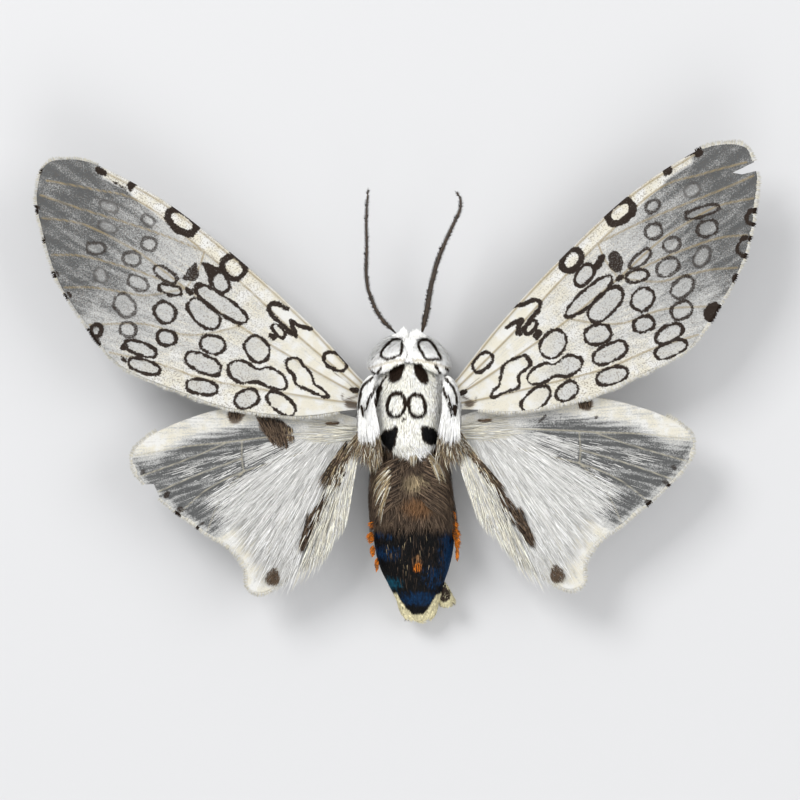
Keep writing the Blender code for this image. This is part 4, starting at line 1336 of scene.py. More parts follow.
@dataclass
class BodyMarks:
    """The colours of the body by place, the same for its skin and its coat."""

    rings: tuple = (
        Patch(((-1.6, 7.41), (-0.8, 7.41), (-0.67, 6.98), (-0.8, 6.34), (-0.9, 5.91), (-1.44, 5.64),
            (-2.09, 5.42), (-2.62, 5.53), (-2.89, 5.85), (-2.62, 6.44), (-2.19, 6.93))),
        Patch(((1.14, 7.3), (1.89, 7.36), (2.43, 6.93), (2.86, 6.28), (3.12, 5.8), (3.29, 5.37),
            (2.75, 5.42), (2.0, 5.32), (1.62, 5.59), (1.41, 6.01), (1.14, 6.39), (0.94, 6.87))),
    )
    solid: tuple = (
        Hoop(Oval(-1.32, 0.62, 1.22, 0.88, 80), 0.19), Hoop(Oval(0.81, 0.54, 1.17, 0.83, 100), 0.19),
        Oval(-1.25, 1.85, 0.62, 0.26, 0), Oval(-0.25, 0.75, 0.28, 0.4, 20),
        Oval(-1.95, -0.35, 0.3, 0.22, 40),
        Patch(((-1.33, 4.83), (-0.47, 4.94), (-0.47, 4.4), (-0.74, 3.76), (-0.9, 3.22), (-1.76, 2.9),
            (-2.09, 3.22), (-2.03, 3.87), (-1.87, 4.4))),
        Patch(((0.49, 4.94), (1.24, 4.99), (1.46, 4.51), (1.89, 3.87), (2.0, 3.22), (1.78, 2.79),
            (1.14, 3.01), (0.71, 3.54), (0.49, 4.19))),
        Patch(((-3.0, -2.58), (-2.52, -2.04), (-1.87, -1.83), (-1.23, -1.5), (-1.17, -2.15), (-1.28, -2.79),
            (-1.44, -3.54), (-1.87, -4.19), (-2.46, -3.76), (-2.89, -3.22))),
        Patch(((1.24, -1.61), (2.0, -1.56), (2.86, -2.04), (3.09, -2.69), (2.96, -3.33), (2.43, -3.65),
            (1.67, -3.33), (1.3, -2.79))),
        Oval(-0.55, -0.85, 0.3, 0.16, 45),
        Stroke(((-4.02, 4.19), (-3.59, 3.97), (-3.7, 3.54), (-4.77, 2.58), (-5.09, 1.4), (-5.2, 0.54),
            (-4.99, -0.43)), 0.12),
        Stroke(((-2.95, 4.51), (-3.37, 3.76), (-3.48, 3.01), (-3.7, 2.15), (-4.13, 1.29), (-4.5, 0.54),
            (-4.88, -0.43)), 0.12),
        Stroke(((-2.3, 3.65), (-2.73, 3.01), (-3.16, 2.04)), 0.1),
        Stroke(((-2.95, 2.5), (-3.3, 1.5), (-3.5, 0.6)), 0.26),
        Stroke(((2.75, 4.78), (3.12, 4.14), (3.61, 3.6), (4.2, 4.03), (3.82, 4.51)), 0.13),
        Stroke(((3.61, 3.54), (3.39, 3.11), (3.61, 2.26), (4.04, 1.07), (4.36, 0.0), (4.68, -0.86)), 0.13),
        Stroke(((3.82, 3.33), (4.47, 2.58), (4.84, 1.72), (4.94, 0.64), (4.92, -0.32), (4.73, -0.86)),
            0.13),
        Stroke(((4.6, -0.3), (4.73, -0.7)), 0.3),
    )
    line_half: float = 0.14

    def tint(self, places: Array, hairy: float = 0.5) -> Array:
        """Colours places on the body.

        Args:
            places: Places in the frame.
            hairy: How much the marks' edges stray, in shares of a tuft's width.

        Returns:
            Linear colours, one a row.
        """
        x, y, z = places.T
        flat = places[:, :2] + 0.16 * hairy * np.stack([drift(places, 0.2, 1.0), drift(places, 0.2, 5.0)],
            -1)
        colour = np.tile(Tint.WHITE.value, (len(places), 1))
        disc = smoothstep(3.4, 2.4, np.abs(x)) * smoothstep(5.8, 4.8, y)
        colour = self.blend(colour, Tint.CREAM, (0.5 + 0.4 * drift(places, 1.5, 2.0)) * disc)
        ring = np.min([np.abs(ring.distance(flat)) for ring in self.rings], 0) - self.line_half
        ink = np.minimum(ring, np.min([mark.distance(flat) for mark in self.solid], 0))
        above = smoothstep(6.0, 6.6, z)
        # A faint tan line along the collar's rear edge: painted shade where the collar overhangs the thorax.
        behind = np.abs(y - 5.3 + 0.05 * x * x) < 0.12
        colour = self.blend(colour, Tint.TAN, 0.5 * behind * above)
        colour = self.blend(colour, Tint.INK, smoothstep(0.06, -0.04, ink) * above)
        colour = self.blend(colour, Tint.BLACK,
            smoothstep(-0.08, -0.2, ink) * above * smoothstep(1.0, -1.0, y))
        return self.abdomen_tint(places, colour)

    def abdomen_tint(self, places: Array, colour: Array) -> Array:
        """Lays the colours of the abdomen over others.

        Args:
            places: Places in the frame.
            colour: The colours there so far.

        Returns:
            Linear colours, one a row.
        """
        x, y, z = places.T
        stray = drift(places, 0.5, 8.0)
        hair = self.blend(np.tile(Tint.BROWN.value, (len(places), 1)), Tint.DARK_BROWN, 0.5 + 0.9 * stray)
        tan = np.hypot((x - 0.8) / 1.6, (y + 7.4) / 0.9) + 0.4 * stray
        hair = self.blend(hair, Tint.TAN, 0.8 * smoothstep(1.3, 0.3, tan))
        rust = np.hypot((x - 0.8) / 1.7, (y + 9.9) / 1.1) + 0.4 * stray
        hair = self.blend(hair, Tint.RUST, 0.9 * smoothstep(1.3, 0.3, rust))
        waist = -4.75 + 0.14 * (x - 0.1) ** 2
        waist = np.where(np.abs(x) > 3.4, -3.2, waist)
        colour = self.over(colour, hair, smoothstep(0.08, -0.12, y - waist + 0.12 * stray))
        dark = np.tile(Tint.BLACK.value, (len(places), 1))
        streaky = drift(places * (1.0, 0.3, 1.0), 0.22, 4.0)
        for cx, cy, wide, tall, tint in (
            (-2.5, -15.0, 1.7, 0.75, Tint.BLUE), (-2.8, -13.1, 1.0, 0.5, Tint.BLUE),
            (4.2, -15.5, 1.2, 3.2, Tint.BLUE), (-1.7, -18.3, 1.1, 0.7, Tint.TEAL),
            (1.0, -19.9, 2.2, 0.8, Tint.BLUE), (2.6, -17.6, 1.3, 1.2, Tint.BLUE),
        ):
            near = np.hypot((x - cx) / wide, (y - cy) / tall) + 0.45 * stray + 0.5 * streaky
            dark = self.blend(dark, tint, 0.95 * smoothstep(1.25, 0.4, near))
        spot = np.hypot((x - 0.86) / 0.5, (y + 16.05) / 0.95) + 0.4 * stray
        dark = self.blend(dark, Tint.RUST, smoothstep(1.15, 0.9, spot))
        spot = np.hypot((x - 0.86) / 0.45, (y + 16.5) / 0.5) + 0.3 * stray
        dark = self.blend(dark, Tint.ORANGE, smoothstep(1.1, 0.8, spot))
        hem = np.interp(x, *np.transpose((
            (-1.3, -19.3), (-0.9, -20.1), (-0.3, -21.0), (0.4, -21.7), (1.6, -21.65), (2.2, -20.8),
            (2.9, -19.5),
        )))
        border = smoothstep(0.1, -0.1, y - hem + 0.15 * stray) * smoothstep(-19.2, -19.6, y)
        border = np.maximum(border, smoothstep(3.2, 2.6, z) * smoothstep(-19.8, -20.4, y))
        dark = self.blend(dark, Tint.TAIL, border)
        colour = self.over(colour, dark, smoothstep(-11.9, -13.2, y + 0.6 * stray))
        below = np.tile(Tint.CREAM.value, (len(places), 1)) * 0.7
        belly = smoothstep(2.2, 1.4, z) * smoothstep(-4.0, -6.0, y)
        return self.over(colour, below, belly)

    def lobe_tint(self, places: Array) -> Array:
        """Colours the lobes beside the tail: dark with a cream border."""
        x, y, _ = places.T
        rim = np.hypot((x - 3.75) / 0.6, (y + 19.6) / 0.85) + 0.2 * drift(places, 0.3, 4.0)
        dark = np.tile(Tint.DARK_BROWN.value, (len(places), 1))
        return self.blend(dark, Tint.TAIL, smoothstep(0.9, 1.1, rim))

    @staticmethod
    def blend(colour: Array, tint: Tint, share: Array) -> Array:
        """Returns the colours turned to one tint by a share."""
        return BodyMarks.over(colour, np.array(tint.value), share)

    @staticmethod
    def over(colour: Array, top: Array, share: Array) -> Array:
        """Returns the colours turned to others by a share."""
        share = np.clip(share, 0.0, 1.0)[:, None]
        return colour * (1 - share) + top * share


FLESH = (
    "thorax", "collar_left", "collar_right", "tegula_left", "tegula_right", "head", "palp_left",
    "palp_right", "abdomen_base", "abdomen", "abdomen_end", "clasper_left", "clasper_right",
)


@dataclass
class BodySkin:
    """One skin over head, thorax, plates, abdomen, palps and claspers."""

    marks: BodyMarks
    material: Material
    depth: float = 0.28
    voxel: float = 0.17
    palp: tuple = ((0.55, 7.4, 4.4), (0.65, 7.9, 4.0), (0.7, 8.35, 3.9))
    left_lobe: SweptForm = SweptForm(
        ((-0.9, -18.2, 2.6), (-1.2, -19.0, 2.4), (-0.8, -19.9, 2.2)), (0.3, 0.45, 0.45, 0.3), 0.3
    )
    right_lobe: SweptForm = SweptForm(
        ((3.75, -18.2, 3.3), (3.9, -19.3, 3.1), (4.15, -20.7, 2.9)), (0.12, 0.45, 0.75, 1.0), 0.3
    )

    def surface(self) -> LoftedBody:
        """Returns the body's surface without its coat."""
        return LoftedBody(BODY_STATIONS, self.depth)

    def build(self) -> None:
        """Builds the skin and hides the plain body."""
        body = self.surface()
        low, high = BODY_STATIONS[-1][0], BODY_STATIONS[0][0]

        def trunk(t: Array, angle: Array) -> Array:
            """Places the trunk, rounded off at both ends."""
            end = np.sqrt(np.clip(1.0 - np.abs(2 * t - 1) ** 30, 0.0, 1.0))
            y = high + (low - high) * t
            middle = body.place(y, angle)
            x, _, centre, _ = body.ring(y)
            core = np.stack([x, y, centre], -1)
            return core + (middle - core) * end[:, None]

        forms = [ball_form(150, 64, trunk)]
        for side in SIDES.values():
            palp = SweptForm(mirrored(self.palp, side), (0.28, 0.3, 0.2))
            forms += [
                ball_form(40, 32, collar(side).place), ball_form(50, 28, tegula(side).place),
                ball_form(16, 16, palp.place),
            ]
        forms += [ball_form(24, 18, lobe.place) for lobe in (self.left_lobe, self.right_lobe)]
        mesh = self.one_skin(joined("body_forms", *forms))
        set_tint(mesh, self.marks.tint(places_of(mesh), 0.0) * 0.9)
        piece = finished("body_skin", mesh, self.material)
        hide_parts(*FLESH)

    def one_skin(self, forms: bpy.types.Mesh) -> bpy.types.Mesh:
        """Melts closed forms that cross into one smooth skin.

        Args:
            forms: The forms in one mesh, in millimetres.

        Returns:
            One closed mesh.
        """
        carrier = bpy.data.objects.new("body_forms", forms)
        bpy.context.scene.collection.objects.link(carrier)
        remesh = carrier.modifiers.new("one_skin", "REMESH")
        remesh.mode = "VOXEL"
        remesh.voxel_size = self.voxel
        smooth = carrier.modifiers.new("soften", "SMOOTH")
        smooth.factor = 0.5
        smooth.iterations = 3
        graph = bpy.context.evaluated_depsgraph_get()
        mesh = bpy.data.meshes.new_from_object(carrier.evaluated_get(graph))
        bpy.data.objects.remove(carrier)
        bpy.data.meshes.remove(forms)
        return mesh


@dataclass
class CoatPatch:
    """One stretch of combed coat on a surface.

    The surface is read by a share or place along it and an angle round it.
    """

    along: Pair
    around: Pair
    count: int
    length: Pair
    width: Pair
    lift: float
    flow: float = -1.0
    spread: float = 0.18
    points: int = 3
    sink: float = 0.12
    shade: float = 0.08
    swirl: float = 0.0


@dataclass
class BodyCoat:
    """The scales and hair of the body, combed back over the skin."""

    skin: BodySkin
    marks: BodyMarks
    white: Material
    brown: Material
    glossy: Material
    seed: int = 23

    def build(self) -> None:
        """Builds every coat piece of the body."""
        body = self.skin.surface()
        self.piece("thorax_coat", self.white, body, [
            CoatPatch((-4.6, 6.3), (-20, 200), 8600, (0.45, 0.85), (0.045, 0.08), 0.16, swirl=0.2),
            CoatPatch((-4.2, 6.0), (200, 340), 2400, (0.7, 1.2), (0.07, 0.12), 0.2),
        ])
        self.piece("head_coat", self.white, body, [
            CoatPatch((6.0, 7.75), (-60, 240), 2800, (0.3, 0.55), (0.035, 0.06), 0.16, flow=0.6),
        ], self.crown(), bed=OpenAir(body))
        self.piece("abdomen_hair", self.brown, body, [
            CoatPatch((-11.4, -3.3), (-10, 190), 4400, (1.2, 2.8), (0.03, 0.06), 0.5, spread=0.4, points=5,
                shade=0.35, swirl=1.0),
            CoatPatch((-12.4, -4.6), (185, 355), 1500, (0.8, 1.5), (0.05, 0.09), 0.3),
        ], self.shag())
        self.piece("abdomen_scales", self.glossy, body, [
            CoatPatch((-22.1, -11.6), (-25, 205), 7400, (0.35, 0.7), (0.06, 0.1), 0.1, shade=0.2),
            CoatPatch((-21.2, -12.0), (200, 340), 2200, (0.5, 0.9), (0.07, 0.12), 0.12),
        ], [
            HairFan(((-3.0, -11.0, 6.0), (0.8, -11.0, 7.6), (4.2, -11.0, 6.4)), ((-2.6, -18.6, 4.0),
                (0.8, -20.4, 4.4), (3.6, -18.8, 4.0)), 760, (1.0, 2.4), (0.022, 0.045),
                (Tint.BLACK, Tint.BLACK, Tint.DARK_BROWN), (0.0, 0.85), (0.05, 0.25), 12, 0.4, 0.012, 0.4),
            HairFan(((-2.6, -11.0, 6.2), (0.8, -11.0, 7.6), (3.6, -11.0, 6.6)), ((-1.6, -17.6, 4.4),
                (0.8, -18.6, 4.6), (2.4, -17.6, 4.4)), 60, (0.6, 1.3), (0.018, 0.03),
                (Tint.BROWN, Tint.TAN, Tint.BROWN), (0.0, 0.85), (0.1, 0.25), 8, 0.5, 0.015, 0.3),
            HairFan(((-0.7, -20.4, 3.6), (0.9, -21.0, 3.6), (2.9, -19.8, 3.6)), ((-0.6, -21.9, 2.9),
                (0.7, -22.6, 2.8), (1.7, -22.75, 2.8), (2.6, -22.1, 2.9), (3.2, -21.0, 2.9)), 420,
                (0.5, 1.1), (0.03, 0.06), (Tint.TAIL,), (0.45, 0.8), (0.0, 0.15), 9, 0.4, 0.03, 0.2),
        ])
        self.side_tufts(body)
        for name, side in SIDES.items():
            self.piece(f"collar_coat_{name}", self.white, collar(side), [
                CoatPatch((0.0, 1.0), (0, 360), 3600, (0.35, 0.7), (0.04, 0.07), 0.12),
            ])
            self.piece(f"tegula_coat_{name}", self.white, tegula(side), [
                CoatPatch((0.0, 1.0), (0, 360), 2600, (0.5, 1.0), (0.04, 0.07), 0.12),
            ])
            self.shoulder_hair(name, side, body)
        for name, lobe in (("left", self.skin.left_lobe), ("right", self.skin.right_lobe)):
            self.piece(f"tail_lobe_{name}", self.glossy, lobe, [
                CoatPatch((0.0, 1.0), (0, 360), 900, (0.25, 0.5), (0.04, 0.07), 0.06),
            ], tint=self.marks.lobe_tint)

    @staticmethod
    def crown() -> list[HairFan]:
        """Returns the two pointed tufts of the crown."""
        white = (Tint.WHITE,)
        fans = [
            HairFan(((-2.0, 6.4, 7.5), (-1.0, 6.4, 8.0), (0.0, 6.4, 8.2)), ((-1.95, 7.6, 6.7),
                (-1.1, 8.3, 7.1), (-0.56, 8.9, 7.2), (-0.2, 8.5, 7.2), (-0.03, 8.15, 7.2)), 1700,
                (0.5, 1.2), (0.055, 0.1), white, (0.0, 0.6), (0.0, 0.3), 14, 0.3, 0.02),
            HairFan(((0.0, 6.4, 8.2), (1.0, 6.4, 8.0), (2.0, 6.4, 7.5)), ((0.07, 8.15, 7.2),
                (0.4, 8.5, 7.2), (0.7, 8.72, 7.2), (1.3, 8.25, 7.1), (2.05, 7.55, 6.7)), 1700, (0.5, 1.2),
                (0.055, 0.1), white, (0.0, 0.6), (0.0, 0.3), 14, 0.3, 0.02),
            HairFan(((-0.6, 7.6, 8.1), (0.1, 7.6, 8.2), (0.75, 7.6, 8.1)), ((-0.6, 4.9, 8.65),
                (0.1, 4.9, 8.75), (0.75, 4.9, 8.65)), 900, (0.6, 1.0), (0.05, 0.09), white, (0.0, 0.75),
                (0.0, 0.15), 3, 0.1),
        ]
        for side in SIDES.values():
            fans.append(HairFan(
                mirrored(((1.3, 6.3, 7.4), (2.6, 6.0, 6.9)), side),
                mirrored(((1.5, 7.9, 6.3), (2.7, 7.25, 6.0)), side),
                500, (0.6, 1.2), (0.045, 0.08), white, (0.2, 0.5), (0.0, 0.25), 6, 0.4, 0.03,
            ))
        return fans

    @staticmethod
    def shag() -> list[HairFan]:
        """Returns the long loose hair swept over the front of the abdomen."""
        dark, light = (Tint.BROWN, Tint.DARK_BROWN, Tint.BROWN), (Tint.TAN, Tint.BROWN, Tint.TAN, Tint.BAND)
        wide = (0.028, 0.055)
        return [
            HairFan(((-0.4, -4.6, 7.4), (-0.2, -7.0, 7.5), (0.0, -9.0, 7.6)), ((-4.3, -7.0, 5.0),
                (-4.4, -9.6, 5.0), (-3.8, -12.4, 5.2)), 520, (2.4, 4.2), wide, dark, (0.0, 0.35),
                (0.35, 0.85), 10, 0.7, shade=0.3),
            HairFan(((0.6, -4.6, 7.4), (0.5, -7.0, 7.5), (0.4, -9.0, 7.6)), ((4.4, -6.6, 5.0),
                (4.6, -9.2, 5.0), (4.0, -12.4, 5.2)), 520, (2.4, 4.2), wide, dark, (0.0, 0.35),
                (0.35, 0.85), 10, 0.7, shade=0.3),
            HairFan(((-1.2, -5.2, 7.3), (-1.6, -7.4, 7.4)), ((-4.2, -8.5, 5.2), (-3.0, -12.6, 6.0)), 240,
                (2.4, 4.4), wide, light, (0.0, 0.3), (0.6, 1.0), 5, 0.8, shade=0.25),
            HairFan(((-2.6, -4.0, 6.6), (-3.4, -3.6, 5.6)), ((-3.6, -7.2, 6.0), (-5.0, -7.0, 5.0)), 260,
                (1.6, 3.2), wide, light, (0.0, 0.3), (0.3, 0.9), 6, 0.7, 0.08, shade=0.25),
            HairFan(((1.6, -4.4, 7.2), (2.4, -4.2, 6.9)), ((3.3, -8.5, 6.6), (4.5, -8.2, 5.4)), 240,
                (2.4, 4.0), wide, light, (0.0, 0.2), (0.5, 1.0), 5, 0.8, shade=0.25),
            HairFan(((0.0, -4.6, 7.6), (0.8, -4.6, 7.6)), ((0.1, -6.2, 7.6), (0.8, -6.0, 7.6)), 60,
                (0.7, 1.4), wide, (Tint.BAND, Tint.TAN), (0.0, 0.1), (0.4, 0.9), 3, 0.7, 0.1),
        ]

    def side_tufts(self, body: LoftedBody) -> None:
        """Builds the orange tufts along both sides of the abdomen.

        Args:
            body: The body's surface.
        """
        tufts = Tufts("side_tufts", self.white)
        places = (
            (-3.9, -12.1, 0.55, 0.35), (-4.15, -13.4, 0.42, 0.5), (-3.9, -14.8, 0.28, 0.5),
            (-3.45, -16.2, 0.22, 0.6),
            (4.75, -11.2, 0.26, 0.6), (4.9, -12.2, 0.4, 0.6), (5.1, -13.1, 0.42, 0.6),
            (5.2, -13.9, 0.34, 0.6),
            (5.15, -15.1, 0.2, 0.6),
        )
        for k, (x, y, wide, tall) in enumerate(places):
            side = math.copysign(wide, x)
            fan = HairFan(
                ((x - 0.5 * side, y + tall, 4.9), (x - 1.2 * side, y + 0.2 * tall, 4.6),
                    (x - side, y - tall, 4.4)),
                ((x + 0.8 * side, y + 0.3 * tall, 4.6), (x + 0.9 * side, y - 0.5 * tall, 4.4),
                 (x + 0.1 * side, y - 1.7 * tall, 4.2)),
                240, (0.3, 0.8), (0.025, 0.05), (Tint.ORANGE, Tint.ORANGE, Tint.ORANGE, Tint.RUST),
                (0.0, 0.6),
                (-0.2, 0.35), 4, 0.4, 0.1, 0.3, reach=(0.6, 1.15),
            )
            fan.grow(tufts, OpenAir(body), self.seed + k)
        tufts.build()

    def shoulder_hair(self, name: str, side: int, body: LoftedBody) -> None:
        """Builds the long white strands behind a shoulder plate and the hair at the wings' roots.

        Args:
            name: The side's name.
            side: -1 on the left and 1 on the right.
            body: The body's surface.
        """
        white = (Tint.WHITE,)
        fans = [
            HairFan(((3.75, 1.2, 8.8), (4.1, 1.9, 8.7), (4.7, 1.4, 8.4), (5.2, 0.4, 8.0)),
                ((3.05, -2.4, 8.7), (3.6, -3.4, 8.4), (4.4, -3.6, 8.1), (5.4, -3.2, 7.6)), 1300, (1.3, 3.0),
                (0.03, 0.055), white, (0.0, 0.6), (0.0, 0.4), 9, 0.85, 0.03, reach=(0.75, 1.1)),
            HairFan(((3.0, -2.8, 7.4), (4.2, -2.4, 7.0), (5.2, -2.0, 6.6)), ((2.7, -6.2, 7.2),
                (4.8, -6.6, 6.0), (7.2, -4.8, 5.6)), 800, (0.8, 2.8), (0.022, 0.042),
                (Tint.TAN, Tint.BAND, Tint.BROWN, Tint.BROWN), (-0.1, 0.5), (0.0, 0.6), 7, 0.75, 0.09,
                shade=0.3, reach=(0.6, 1.1)),
            HairFan(((4.75 - 0.15 * side, 0.6, 9.0), (5.1, 0.5, 8.7)), ((4.68, -1.0, 8.9),
                (4.85, -1.0, 8.7)), 110, (0.3, 0.7), (0.025, 0.045), (Tint.INK,), (0.0, 0.6), (0.15, 0.3),
                2, 0.2, 0.05, soft=1.3, reach=(0.6, 1.0)),
            HairFan(((3.98, 1.7, 8.95), (4.1, 1.7, 8.95)), ((4.5, -0.2, 8.95), (4.65, -0.2, 8.95)), 70,
                (0.3, 0.6), (0.02, 0.032), (Tint.INK,), (0.0, 0.85), (0.15, 0.3), 2, 0.2, 0.05,
                reach=(0.8, 1.0)),
            HairFan(((3.6, -1.6, 5.4), (4.4, -1.8, 5.2)), ((3.9, -5.6, 4.2), (5.0, -5.0, 4.2)), 260,
                (2.0, 3.6), (0.05, 0.08), (Tint.BROWN, Tint.TAN), (0.0, 0.1), (0.1, 0.5), 5),
        ]
        tufts = Tufts(f"shoulder_hair_{name}", self.white)
        for k, fan in enumerate(fans):
            turned = replace(fan, roots=mirrored(fan.roots, side), tips=mirrored(fan.tips, side))
            turned.grow(tufts, OpenAir(body), self.seed + 10 * k + side)
        tufts.build()

    def piece(self, name: str, material: Material, surface: LoftedBody | SweptForm,
              patches: list[CoatPatch], fans: Sequence[HairFan] = (),
              tint: Callable[[Array], Array] | None = None, bed: OpenAir | None = None) -> None:
        """Builds one coat piece from its patches.

        Args:
            name: The piece's name.
            material: Its finish.
            surface: The surface it grows on.
            patches: The stretches of coat.
            fans: Longer hair over them.
            tint: Colours places, where not as the body's own marks do.
            bed: What the longer hair lies on, where not on the surface.
        """
        tufts = Tufts(name, material)
        rng = np.random.default_rng(self.seed + len(name))
        for patch in patches:
            self.comb(tufts, surface, patch, rng, tint or self.marks.tint)
        for k, fan in enumerate(fans):
            fan.grow(tufts, bed or surface, self.seed + k)
        tufts.build()

    def comb(self, tufts: Tufts, surface: LoftedBody | SweptForm, patch: CoatPatch,
             rng: np.random.Generator, tint: Callable[[Array], Array]) -> None:
        """Sets one patch's tufts on the surface, even by area and lying along it.

        Args:
            tufts: The piece they are added to.
            surface: The surface they grow on.
            patch: The stretch of coat.
            rng: The piece's source of chances.
            tint: Colours places.
        """
        low, high = (math.radians(v) for v in patch.around)
        tries = patch.count * 6
        along = rng.uniform(*patch.along, tries)
        angle = rng.uniform(low, high, tries)
        step = 0.01 * (patch.along[1] - patch.along[0])
        reach = surface.place(along + step, angle) - surface.place(along - step, angle)
        round_ = surface.place(along, angle + 0.02) - surface.place(along, angle - 0.02)
        area = np.linalg.norm(np.cross(reach, round_), axis=1)
        keep = np.flatnonzero(rng.uniform(0, np.quantile(area, 0.98), tries) < area)[: patch.count]
        along, angle = along[keep], angle[keep]
        root = surface.place(along, angle)
        facing = surface.facing(along, angle)
        on_body = isinstance(surface, LoftedBody)
        back = np.tile((0.0, float(np.sign(patch.flow)), 0.0), (len(root), 1))
        back[:, 0] += rng.normal(0.0, patch.spread, len(root)) + 0.5 * patch.spread * drift(root, 1.2, 3.0)
        back[:, 0] += 0.05 * root[:, 0] * on_body + patch.swirl * drift(root, 2.2, 6.0)
        way = unit(back - facing * np.sum(back * facing, 1, keepdims=True))
        length = rng.uniform(*patch.length, len(root))
        t = np.linspace(0.0, 1.0, patch.points)
        rise = patch.lift * np.interp(t, (0, 0.3, 0.7, 1), (-patch.sink / patch.lift, 0.55, 1.0, 0.95))
        rise = rise[None, :] * rng.uniform(0.6, 1.25, (len(root), 1))
        run = (length[:, None] * t)[..., None] * way[:, None, :]
        centres = root[:, None, :] + run + rise[..., None] * facing[:, None, :]
        if on_body:
            centres = surface.settle(centres, rise)
        centres[..., 2] = np.maximum(centres[..., 2], LOWEST)
        seen = 0.35 * centres[:, :1] + 0.65 * centres
        tints = tint(seen.reshape(-1, 3)).reshape(centres.shape)
        tints = tints * np.exp(rng.normal(0.0, patch.shade, (len(root), 1, 1)))
        # Each tuft is darker at its root and brighter at its tip: painted shade deep in the coat and painted
        # light on the tips.
        tints = np.clip(tints * np.interp(t, (0, 1), (0.95, 1.08))[None, :, None], 0.0, 1.0)
        uv = 0.01 + 0.98 * np.stack([(angle / math.tau) % 1.0, along], -1)
        uv = surface.unwrap(root) if on_body else uv
        tufts.add(centres, facing, rng.uniform(*patch.width, len(root)), 0.5, tints, uv)


